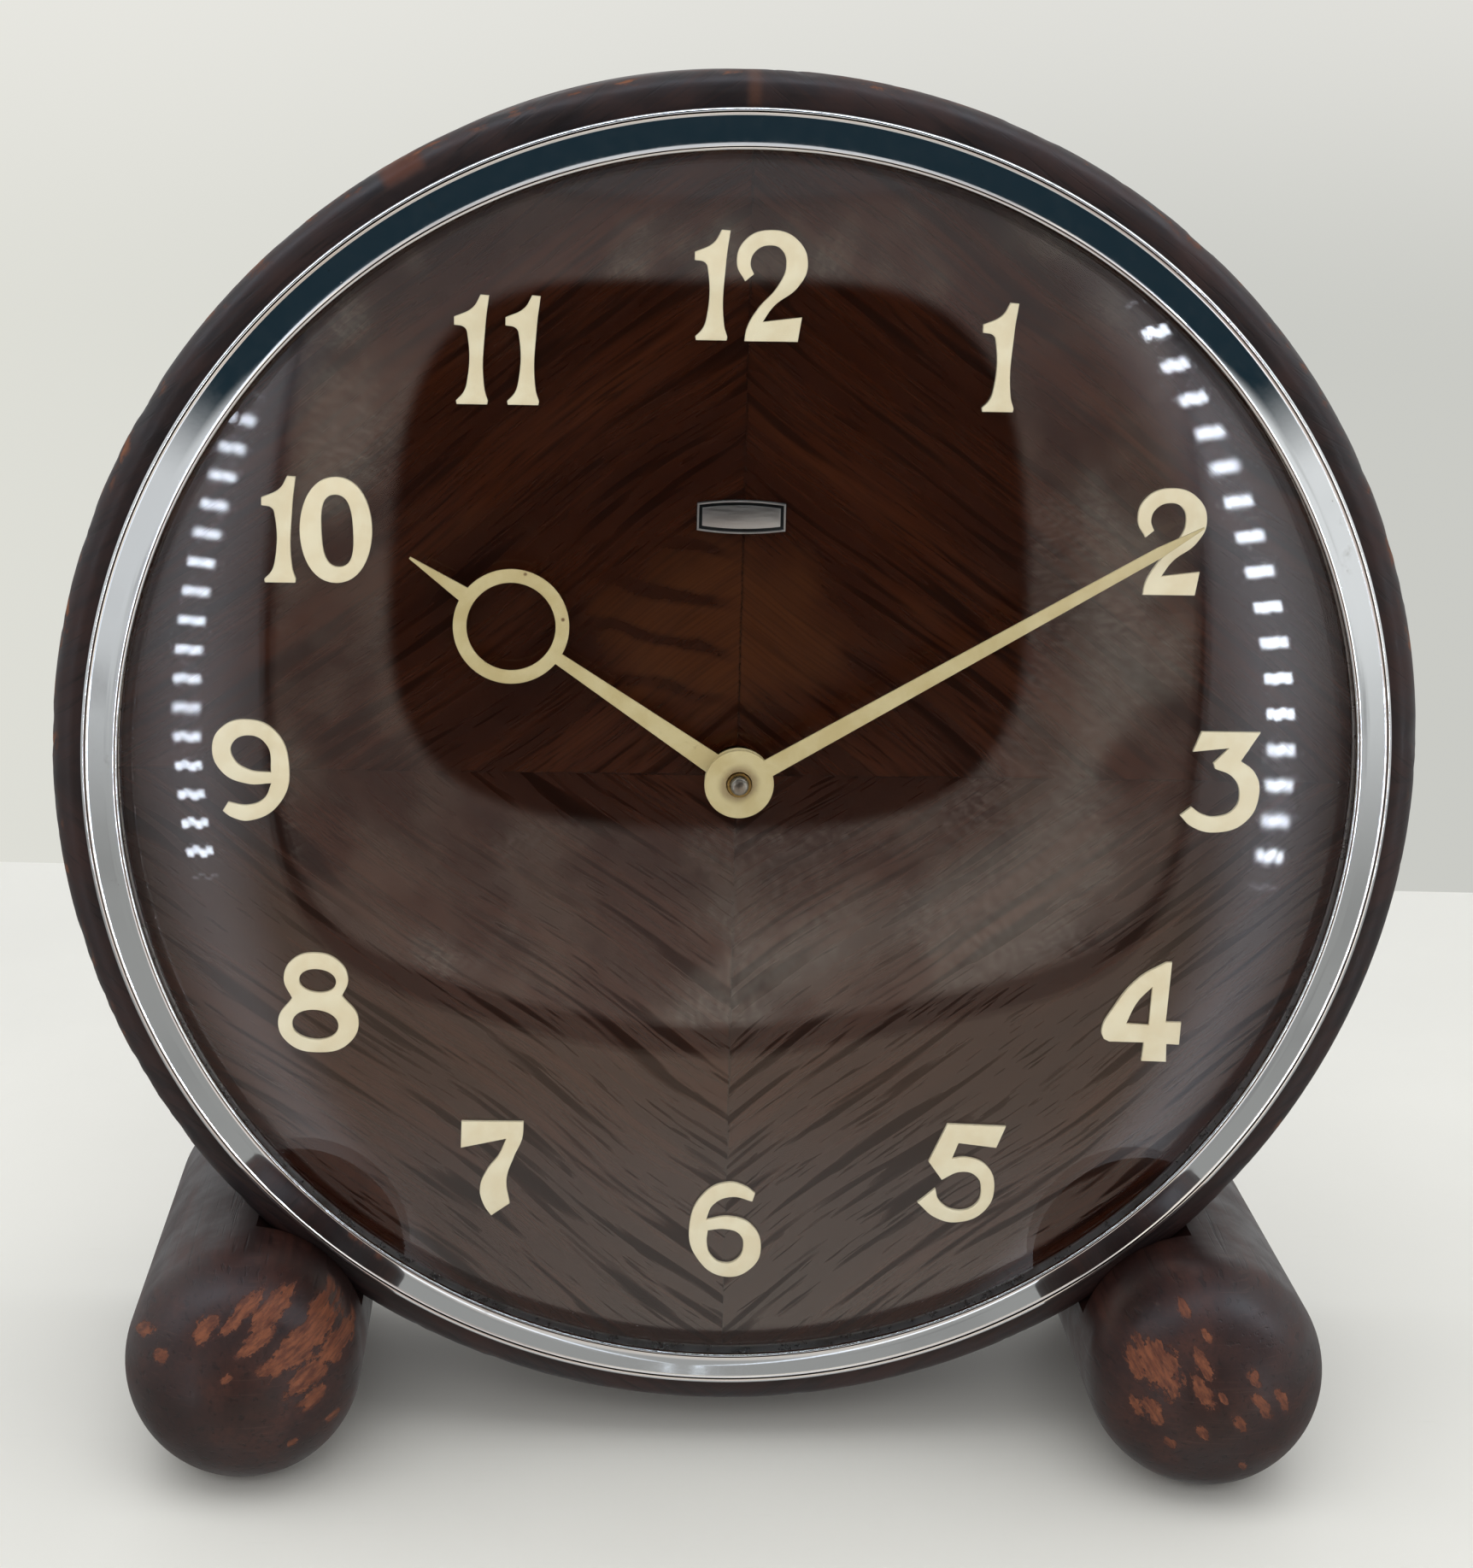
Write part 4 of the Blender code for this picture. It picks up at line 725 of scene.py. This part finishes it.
def glass_forward(radius):
    return GLASS_RIM_AT + sqrt(GLASS_CURVE_R**2 - radius**2) - sqrt(GLASS_CURVE_R**2 - LIP_R**2)


def make_glass():
    rim = local_box("glass")[1].x
    radii = [rim * i / 40 for i in range(41)]
    outer = [(r, glass_forward(r)) for r in radii]
    inner = [(r * (1 - GLASS_THICK / GLASS_CURVE_R), glass_forward(r) - GLASS_THICK) for r in radii]
    place("domed_glass", lathe(outer + inner[::-1]), "glass", "case", stands_for=["glass"])
    low, high = local_box("glass_ring")
    inner_r = 89.6
    corners = [(inner_r, low.z), (high.x, low.z), (high.x, high.z), (inner_r, high.z)]
    mesh = lathe(soften(corners, 0.15, 2))
    place("retaining_ring", mesh, "steel", "case", stands_for=["glass_ring"])


# ---- dial ----

CORNER, CURVE = "VECTOR", "AUTO"
# Each digit's outlines, as (x, y, corner or curve)
GLYPHS = {
    "0": [
        [(5.15, 15.2, CURVE), (0.0, 7.6, CURVE), (5.15, 0.0, CURVE), (10.3, 7.6, CURVE)],
        [(5.0, 12.7, CURVE), (3.1, 7.7, CURVE), (5.6, 2.3, CURVE), (7.6, 7.4, CURVE)],
    ],
    "1": [[
        (3.8, 15.3, CORNER), (2.7, 13.5, CURVE), (0.1, 12.2, CORNER), (0.1, 11.1, CORNER),
        (1.6, 10.7, CURVE), (2.0, 9.6, CURVE), (1.9, 3.0, CURVE), (1.4, 1.6, CURVE), (0.4, 0.5, CORNER),
        (0.5, 0.0, CORNER), (4.8, 0.0, CORNER), (4.9, 0.5, CORNER), (4.4, 2.2, CURVE), (4.5, 11.0, CURVE),
        (5.0, 15.2, CORNER),
    ]],
    "2": [[
        (1.3, 8.4, CORNER), (0.1, 10.8, CURVE), (1.1, 14.0, CURVE), (4.7, 15.5, CURVE), (8.6, 14.1, CURVE),
        (10.0, 10.7, CURVE), (8.7, 7.7, CURVE), (5.4, 5.0, CURVE), (3.9, 2.8, CORNER), (9.4, 3.5, CORNER),
        (8.9, 0.1, CORNER), (1.4, 0.1, CORNER), (1.7, 1.9, CURVE), (3.1, 4.5, CURVE), (5.9, 7.8, CURVE),
        (7.0, 10.7, CURVE), (6.3, 12.8, CURVE), (4.7, 13.4, CURVE), (2.7, 12.6, CURVE), (2.0, 10.9, CURVE),
        (2.5, 9.4, CORNER),
    ]],
    "3": [[
        (2.4, 15.1, CORNER), (1.3, 12.1, CORNER), (6.6, 12.7, CORNER), (4.4, 10.4, CORNER),
        (4.7, 9.6, CORNER), (7.3, 8.4, CURVE), (8.5, 6.0, CURVE), (7.8, 3.5, CURVE), (5.4, 2.4, CURVE),
        (3.3, 2.7, CURVE), (1.6, 3.8, CORNER), (0.0, 2.5, CORNER), (1.7, 0.9, CURVE), (5.4, 0.0, CURVE),
        (9.7, 1.7, CURVE), (11.4, 6.0, CURVE), (10.6, 9.0, CURVE), (8.4, 10.8, CORNER), (11.0, 15.1, CORNER),
    ]],
    "4": [
        [
            (10.0, 15.5, CORNER), (9.2, 15.5, CORNER), (5.2, 13.0, CURVE), (1.7, 8.4, CURVE),
            (0.1, 4.6, CURVE), (0.5, 3.5, CORNER), (1.3, 3.1, CORNER), (6.5, 3.0, CORNER), (6.3, 0.1, CORNER),
            (10.0, 0.0, CORNER), (9.9, 2.8, CORNER), (11.8, 2.7, CORNER), (11.9, 6.2, CORNER),
            (9.6, 6.2, CORNER),
        ],
        [(7.3, 11.7, CORNER), (7.1, 5.7, CORNER), (3.7, 5.9, CORNER), (5.2, 9.3, CURVE)],
    ],
    "5": [[
        (4.0, 15.7, CORNER), (1.4, 9.7, CORNER), (3.5, 6.8, CORNER), (6.4, 8.1, CURVE), (8.7, 7.4, CURVE),
        (9.5, 5.2, CURVE), (8.8, 2.9, CURVE), (6.1, 1.9, CURVE), (3.3, 3.4, CURVE), (2.6, 5.4, CORNER),
        (0.0, 3.1, CORNER), (2.8, 0.7, CURVE), (6.3, 0.0, CURVE), (10.2, 1.9, CURVE), (11.5, 5.8, CURVE),
        (10.3, 9.0, CURVE), (7.2, 10.4, CURVE), (4.9, 10.2, CORNER), (5.8, 12.7, CORNER),
        (11.5, 12.0, CORNER), (12.8, 15.4, CORNER),
    ]],
    "6": [
        [
            (9.8, 13.5, CORNER), (8.3, 14.6, CURVE), (5.6, 15.2, CURVE), (2.1, 13.4, CURVE),
            (0.0, 8.3, CURVE), (1.1, 3.2, CURVE), (5.5, 0.0, CURVE), (9.6, 1.5, CURVE), (10.9, 4.8, CURVE),
            (9.5, 8.3, CURVE), (6.2, 9.7, CURVE), (2.5, 9.2, CORNER), (3.5, 11.6, CURVE), (6.2, 12.9, CURVE),
            (9.4, 12.2, CORNER),
        ],
        [
            (2.8, 7.5, CORNER), (2.7, 5.5, CURVE), (3.4, 3.4, CURVE), (5.3, 2.2, CURVE), (7.3, 2.8, CURVE),
            (8.2, 5.0, CURVE), (7.6, 6.9, CURVE), (5.5, 7.7, CURVE),
        ],
    ],
    "7": [[
        (0.2, 15.0, CORNER), (0.1, 10.8, CORNER), (6.9, 12.3, CORNER), (5.8, 9.7, CURVE), (4.0, 7.2, CURVE),
        (3.0, 4.4, CURVE), (3.5, 1.9, CURVE), (4.7, 0.0, CORNER), (7.5, 2.0, CORNER), (7.0, 5.8, CURVE),
        (8.1, 9.5, CURVE), (9.3, 12.4, CURVE), (9.5, 15.0, CORNER),
    ]],
    "8": [
        [
            (5.6, 15.4, CURVE), (2.2, 14.3, CURVE), (0.9, 11.5, CURVE), (2.1, 8.4, CORNER),
            (0.0, 4.9, CURVE), (1.5, 1.4, CURVE), (6.1, 0.0, CURVE), (10.4, 1.4, CURVE), (11.9, 5.2, CURVE),
            (9.5, 8.8, CORNER), (10.4, 11.4, CURVE), (9.1, 14.1, CURVE),
        ],
        [(6.1, 12.9, CURVE), (3.2, 11.4, CURVE), (5.7, 9.3, CURVE), (8.6, 10.8, CURVE)],
        [(5.7, 6.6, CURVE), (2.1, 4.6, CURVE), (5.3, 2.0, CURVE), (8.9, 4.0, CURVE)],
    ],
    "9": [
        [
            (5.4, 15.0, CURVE), (1.5, 13.9, CURVE), (0.0, 10.9, CURVE), (1.4, 7.2, CURVE), (5.0, 5.5, CURVE),
            (8.5, 5.6, CORNER), (7.4, 3.3, CURVE), (5.1, 2.3, CURVE), (2.2, 2.7, CORNER), (1.4, 1.4, CORNER),
            (2.6, 0.5, CURVE), (5.5, 0.0, CURVE), (9.9, 2.9, CURVE), (11.1, 8.2, CURVE), (9.2, 13.3, CURVE),
        ],
        [
            (5.4, 12.7, CURVE), (7.9, 11.3, CURVE), (8.5, 7.2, CORNER), (5.2, 7.6, CURVE),
            (3.1, 9.2, CURVE), (2.9, 11.4, CURVE),
        ],
    ],
}
# CAD node of each digit, with what it reads
DIGIT_NODES = {f"digit_{hour}": str(hour) for hour in range(1, 10)}
DIGIT_NODES.update({
    "digit_10_one": "1", "digit_10_zero": "0", "digit_11_left": "1", "digit_11_right": "1",
    "digit_12_one": "1", "digit_12_two": "2",
})


def make_digits():
    for node, digit in DIGIT_NODES.items():
        outlines = GLYPHS[digit]
        low, high = local_box(node)
        xs, ys = [x for x, _, _ in outlines[0]], [y for _, y, _ in outlines[0]]
        centre_x, centre_y = (min(xs) + max(xs)) / 2, (min(ys) + max(ys)) / 2
        centred = [[(x - centre_x, y - centre_y, kind) for x, y, kind in ring] for ring in outlines]
        mesh = flat(centred, low.z, high.z, 0.12)
        at = (low + high) / 2
        place(f"numeral_{node[6:]}", mesh, "ivory", "case", at.x, at.y, stands_for=[node])


def barrel(half_width, half_height, bulge):
    """A level oblong with bowed long sides."""
    bow_r = (half_width**2 + bulge**2) / (2 * bulge)
    spread = asin(half_width / bow_r)
    upper = arc(bow_r, pi / 2 - spread, pi / 2 + spread, 24, 0, half_height + bulge - bow_r)
    return upper + [(-x, -y) for x, y in upper]


def make_badge():
    low, high = local_box("dial_badge")
    at = (low + high) / 2
    half_width = (high.x - low.x) / 2
    back, front = low.z, high.z
    base = flat([barrel(half_width, 2.0, 0.45)], back, front - 0.12, 0.06)
    place("badge_base", base, "badge_edge", "case", at.x, at.y, stands_for=["dial_badge"])
    line = [barrel(half_width - 0.05, 1.95, 0.45), barrel(half_width - 0.32, 1.70, 0.43)]
    field = [barrel(half_width - 0.78, 1.30, 0.38)]
    for name, outlines in (("badge_outer_line", line), ("badge_field", field)):
        mesh = flat(outlines, front - 0.11, front, 0.03)
        place(name, mesh, "badge_silver", "case", at.x, at.y)


def make_hands():
    low, high = local_box("minute_hand")
    boss_r, root = 5.0, 1.3
    boss = arc(boss_r, -pi / 2, pi / 2 - asin(root / boss_r), 30)
    outline = mirrored(boss[1:] + [(0.78, 68.0), (0.12, 75.2)])
    mesh = flat([outline, circle(1.85)], low.z, high.z, 0.1)
    place("long_hand", mesh, "hand_paint", "minute_hand_assembly",
          turn=-MINUTE_HAND_ANGLE, stands_for=["minute_hand"])
    low, high = local_box("hour_hand")
    boss_r, root, neck, point, ring_at, ring_r = 4.9, 1.55, 0.85, 1.1, 39.8, 8.3
    boss = arc(boss_r, -pi / 2, pi / 2 - asin(root / boss_r), 30)
    ring = arc(ring_r, -pi / 2 + asin(neck / ring_r), pi / 2 - asin(point / ring_r), 40, 0, ring_at)
    outline = mirrored(boss[1:] + ring + [(0.15, 57.2)])
    mesh = flat([outline, circle(6.35, 0, ring_at, 96), circle(3.2)], low.z, high.z, 0.1)
    place("short_hand", mesh, "hand_paint", "hour_hand_assembly",
          turn=-HOUR_HAND_ANGLE, stands_for=["hour_hand"])


def make_arbor():
    low, high = local_box("minute_arbor")
    dome, groove_r = 0.55, 1.12
    angles = [radians(15 * i) for i in range(7)]
    tip = [(ARBOR_R * sin(a), high.z - dome + dome * cos(a)) for a in angles]
    tip[0] = (0.0, high.z)
    groove = [(ARBOR_R, high.z - 0.9), (groove_r, high.z - 1.05), (ARBOR_R, high.z - 1.2)]
    mesh = lathe([*tip, *groove, (ARBOR_R, low.z + 0.3), (1.1, low.z), (0.0, low.z)], 48)
    place("centre_pin", mesh, "arbor_steel", "minute_hand_assembly", stands_for=["minute_arbor"])


# ---- back ----


def make_set_knob():
    low, high = local_box("set_knob")
    grips, grip_r, groove_r = 30, 6.2, 5.75
    outline = []
    for i in range(grips):
        for share, radius in ((0.0, grip_r), (0.30, grip_r), (0.5, groove_r), (0.80, groove_r)):
            angle = 2 * pi * (i + share) / grips
            outline.append((radius * cos(angle), radius * sin(angle)))
    mesh = flat([outline], low.z, high.z - 0.8, 0.35, sharp=50)
    collar_r, collar_back = 4.0, high.z - 1.6
    collar = [
        (KNOB_BORE_R, high.z), (3.6, high.z), (collar_r, high.z - 0.5), (collar_r, collar_back),
        (KNOB_BORE_R, collar_back),
    ]
    mesh = combined(mesh, lathe(collar, 64), "UNION")
    dish = lathe([(0.0, low.z + 0.5), (4.2, low.z + 0.5), (4.6, low.z - 0.5), (0.0, low.z - 0.5)], 64)
    mesh = combined(mesh, dish, "DIFFERENCE")
    mouth, bottom = high.z + 1, low.z + 1.6
    bore = lathe([(0.0, mouth), (KNOB_BORE_R, mouth), (KNOB_BORE_R, bottom), (0.0, bottom)], 48)
    mesh = combined(mesh, bore, "DIFFERENCE")
    place("setting_knob", mesh, "brass", "minute_hand_assembly", stands_for=["set_knob"])


def make_winding_key():
    low, high = local_box("winding_key")
    at = (low + high) / 2
    square_r, socket_r, end = 1.65, 3.0, low.z + 8.5
    socket = [(square_r, high.z), (socket_r, high.z), (socket_r, end), (square_r, end)]
    socket = lathe(soften(socket, 0.3, 3), 64)
    centre, rise = (KEY_BOW_FRONT + low.z) / 2, (KEY_BOW_FRONT - low.z) / 2
    half_span = (high.x - low.x) / 2
    lobe = arc(rise, -pi / 2, pi / 2, 32, half_span - rise, 0)
    waist = 2.6
    right = [(waist, -2.2)] + lobe + [(waist, rise)]
    holes = [circle(2.0, side * (half_span - rise), 0, 40) for side in (1, -1)]
    outlines = [mirrored(right)] + holes
    wings = flat(outlines, -0.9, 0.9, 0.35)
    upright = Matrix.Translation((0, 0, centre * MM)) @ Matrix.Rotation(pi / 2, 4, "X")
    mesh = combined(socket, wings, "UNION", upright)
    place("key", mesh, "brass", "winding_assembly", at.x, at.y, stands_for=["winding_key"])


make_front_panel()
make_case_drum()
make_back_cover()
make_cover_screws()
make_feet()
make_bezel()
make_glass()
make_digits()
make_badge()
make_hands()
make_arbor()
make_set_knob()
make_winding_key()


# ---- stage, light and camera ----


def make_floor():
    n = Look("table_top")
    cloud = n.noise(n.place, 0.006, 4, 0.55)
    marks = n.noise(n.scaled(n.place, (0.05, 0.3, 1)), 1.0, 5, 0.7)
    specks = n.smooth(n.cells(n.place, 0.02), 0.045, 0.02)
    colour = n.mix(n.smooth(cloud, 0.3, 0.7), rgb(0.80, 0.80, 0.77), rgb(0.85, 0.85, 0.82))
    colour = n.mix(n.smooth(marks, 0.62, 0.78, 0.0, 0.25), colour, rgb(0.70, 0.70, 0.67))
    colour = n.mix(n.times(specks, 0.35), colour, rgb(0.45, 0.44, 0.42))
    n.shade(Base_Color=colour, Roughness=n.smooth(cloud, 0.3, 0.7, 0.42, 0.55))
    n.shade(Specular_IOR_Level=0.3)
    mesh = bpy.data.meshes.new("table_top")
    corners = [(-1.6, -1.3), (1.6, -1.3), (1.6, 0.245), (-1.6, 0.35)]
    mesh.from_pydata([(x, y, 0) for x, y in corners], [], [(0, 1, 2, 3)])
    mesh.materials.append(LOOKS["table_top"])
    floor = bpy.data.objects.new("table_top", mesh)
    bpy.context.scene.collection.objects.link(floor)
    floor.visible_glossy = False


def make_world():
    """Plain pale surroundings, with a photo tent's panels, opening and lamp rows for gloss to mirror."""
    world = bpy.data.worlds.new("studio")
    bpy.context.scene.world = world
    world.use_nodes = True
    n = Nodes(world.node_tree)
    x, y, z = n.split(n.make("TexCoord", out="Generated"))
    ahead = n.times(y, -1.0)
    az = n.times(n.math("ARCTAN2", x, ahead), TO_DEGREES)
    el = n.times(n.math("ARCSINE", z), TO_DEGREES)
    off_axis = n.times(n.math("ARCCOSINE", ahead), TO_DEGREES)
    clock_turn = n.times(n.math("ARCTAN2", x, z), TO_DEGREES)

    sag = n.times(n.smooth(n.absolute(az), 44.0, 0.0, 0.0, 6.5), n.smooth(el, -14.0, -30.0))

    def squarish(centre_az, half_az, centre_el, half_el, power, edge):
        """1 inside a rounded square of directions, falling to 0 over its edge."""
        across = n.absolute(n.math("DIVIDE", n.minus(az, centre_az), half_az))
        up = n.absolute(n.math("DIVIDE", n.minus(n.plus(el, sag), centre_el), half_el))
        reach = n.plus(n.math("POWER", across, power), n.math("POWER", up, power))
        return n.smooth(reach, 1.0 + edge, 1.0 - edge)

    def lamps(base, first, second, start, span, count, strength):
        """A row of small lamps up one side; its bearing is a quadratic in the height along the row."""
        t = n.math("DIVIDE", n.minus(el, start), span)
        line = n.plus(base, n.times(t, n.plus(first, n.times(t, second))))
        off = n.absolute(n.minus(az, line))
        beat = n.absolute(n.minus(n.math("FRACT", n.times(t, count)), 0.5))
        within = n.times(n.smooth(t, -0.03, 0.0), n.smooth(t, 1.03, 1.0))
        pair = n.smooth(n.absolute(n.minus(off, 0.62)), 0.42, 0.22)
        dots = n.times(pair, n.smooth(beat, 0.19, 0.09))
        glow = n.times(n.smooth(off, 7.0, 0.0), n.smooth(el, 36.0, 15.0))
        lit = n.times(n.times(dots, within), strength)
        return n.plus(lit, n.times(glow, strength * GLOW_SHARE))

    # the tent's side walls, its front panel in a dark frame, and the opening cut in that panel
    weave = n.noise(n.join(az, el, 0.0), 0.09, 4, 0.6)
    threads = n.noise(n.scaled(n.join(az, el, 0.0), (1.6, 2.4, 1)), 1.0, 1)
    cloudy = n.noise(n.join(az, el, 4.0), 0.05, 3, 0.6)
    side = n.mix(n.smooth(az, -40.0, 60.0), rgb(0.69, 0.70, 0.71), rgb(0.83, 0.84, 0.84))
    side = n.mix(n.smooth(el, 4.0, -24.0), side, rgb(0.34, 0.34, 0.33))
    side = n.mix(n.smooth(cloudy, 0.50, 0.72, 0.0, 0.55), side, rgb(0.16, 0.16, 0.16))
    near = n.mix(n.smooth(el, -12.0, -26.0), rgb(0.70, 0.70, 0.72), rgb(0.60, 0.48, 0.38))
    near = n.mix(n.smooth(el, -38.0, -50.0), near, rgb(0.66, 0.62, 0.58))
    near = n.mix(n.smooth(el, -67.0, -75.0), near, rgb(0.38, 0.38, 0.37))
    tone = n.mix(n.smooth(n.absolute(az), 42.0, 53.0), near, side)
    panel = n.mix(n.smooth(weave, 0.40, 0.62), rgb(0.42, 0.33, 0.30), rgb(0.80, 0.65, 0.55))
    panel = n.mix(n.smooth(el, 10.0, 30.0, 0.0, 0.7), panel, rgb(0.70, 0.67, 0.68))
    threads = n.times(n.smooth(threads, 0.46, 0.62, 0.0, 0.8), n.smooth(cloudy, 0.47, 0.57, 0.12, 1.0))
    panel = n.mix(threads, panel, rgb(1.05, 0.94, 0.82))
    catching = n.minus(
        squarish(2.5, 38.0, 3.5, 31.0, 5.0, 0.15), squarish(1.5, 30.5, 4.5, 24.5, 4.0, 0.3))
    catching = n.times(n.larger(catching, 0.0), n.smooth(cloudy, 0.44, 0.60))
    catching = n.times(catching, n.smooth(threads, 0.0, 0.8, 0.45, 1.0))
    panel = n.mix(catching, panel, rgb(1.75, 1.62, 1.42))
    tone = n.mix(squarish(2.5, 39.5, 3.5, 32.5, 6.0, 0.04), tone, panel)
    frame_line = n.minus(
        squarish(2.5, 40.3, 3.0, 33.3, 7.0, 0.03), squarish(2.5, 39.3, 4.2, 31.7, 7.0, 0.04))
    frame_line = n.times(n.larger(frame_line, 0.0), n.smooth(el, 34.0, 10.0, 0.35, 1.0))
    tone = n.mix(n.times(frame_line, 0.92), tone, rgb(0.05, 0.04, 0.035))
    tone = n.mix(squarish(0.0, 27.0, 6.8, 22.8, 3.6, 0.09), tone, rgb(0.004, 0.003, 0.002))
    tone = n.mix(n.smooth(el, 62.0, 80.0, 0.0, 0.7), tone, rgb(0.22, 0.22, 0.23))

    # the dark edge of the roof, a ring of lamps round the clock, and a row of them up each side
    roof = n.times(n.smooth(off_axis, 45.0, 48.0), n.smooth(off_axis, 77.0, 74.0))
    roof = n.times(roof, n.smooth(el, 14.0, 24.0))
    tone = n.mix(roof, tone, rgb(0.012, 0.026, 0.036))
    lamp_pitch = 1.25
    beat = n.absolute(n.minus(n.math("FRACT", n.math("DIVIDE", clock_turn, lamp_pitch)), 0.5))
    row = n.times(n.smooth(off_axis, 79.0, 82.0), n.smooth(off_axis, 96.0, 93.0))
    row = n.times(row, n.smooth(n.absolute(clock_turn), 72.0, 50.0))
    row = n.times(n.times(row, n.smooth(beat, 0.30, 0.14)), 8.0)
    lit = n.plus(lamps(-44.7, -1.69, 5.39, -21.0, 37.0, 16.0, 32.0), row)
    lit = n.plus(lit, lamps(51.0, -1.53, -9.47, -20.0, 44.0, 16.0, 46.0))
    tone = n.vector("ADD", tone, n.scaled(n.join(lit, lit, lit), (0.88, 0.96, 1.10)))

    seen = n.mix(n.smooth(x, -0.22, 0.22), rgb(0.730, 0.730, 0.675), rgb(0.590, 0.595, 0.560))
    seen = n.mix(n.smooth(el, -6.0, 2.0, 0.0, 0.6), seen, rgb(0.860, 0.850, 0.810))
    seen = n.mix(n.smooth(el, -16.0, -19.0), seen, rgb(0.820, 0.820, 0.780))
    ambient = n.mix(n.smooth(z, -0.1, 0.5), rgb(0.62, 0.62, 0.60), rgb(0.86, 0.86, 0.84))
    path = n.make("LightPath").node
    colour = n.mix(path.outputs["Is Glossy Ray"], ambient, tone)
    colour = n.mix(path.outputs["Is Camera Ray"], colour, seen)
    n.set(n.tree.nodes["Background"].inputs["Color"], colour)


def soft_light(name, location, size, energy, colour):
    data = bpy.data.lights.new(name, "AREA")
    data.shape = "RECTANGLE"
    data.size, data.size_y = size
    data.energy = energy
    data.color = colour
    lamp = bpy.data.objects.new(name, data)
    bpy.context.scene.collection.objects.link(lamp)
    lamp.location = location
    lamp.rotation_euler = (Vector((0, 0, 0.1)) - lamp.location).to_track_quat("-Z", "Y").to_euler()
    lamp.visible_glossy = False


def make_lights():
    soft_light("overhead_softbox", (-0.05, -0.25, 1.1), (1.1, 0.8), 2.7, (1.0, 0.985, 0.96))
    soft_light("front_fill", (-0.15, -1.2, 0.55), (1.0, 0.8), 4.2, (1.0, 0.99, 0.97))


def make_camera():
    """The camera stands a little left of the clock and above it, looking down."""
    focal, centre_x, centre_y, width, height = 3513.3, 734.7, 918.7, 1724, 1835
    yaw, pitch, roll = -0.0197, -0.2466, -0.0174
    from_axis = Vector((-24.26, -424.0, 105.05)) * MM
    turn = Matrix.Rotation(yaw, 4, "Z") @ Matrix.Rotation(pitch, 4, "X") @ Matrix.Rotation(roll, 4, "Y")
    data = bpy.data.cameras.new("camera")
    data.sensor_width = 36
    data.lens = focal * data.sensor_width / height
    data.shift_x = (width / 2 - centre_x) / height
    data.shift_y = (centre_y - height / 2) / height
    data.clip_start = 0.01
    camera = bpy.data.objects.new("camera", data)
    bpy.context.scene.collection.objects.link(camera)
    place_at = Matrix.Translation(AXIS + from_axis)
    camera.matrix_world = place_at @ turn @ Matrix.Rotation(pi / 2, 4, "X")
    bpy.context.scene.camera = camera


make_floor()
make_world()
make_lights()
make_camera()
bpy.context.scene.view_settings.view_transform = "Standard"

bpy.context.view_layer.update()
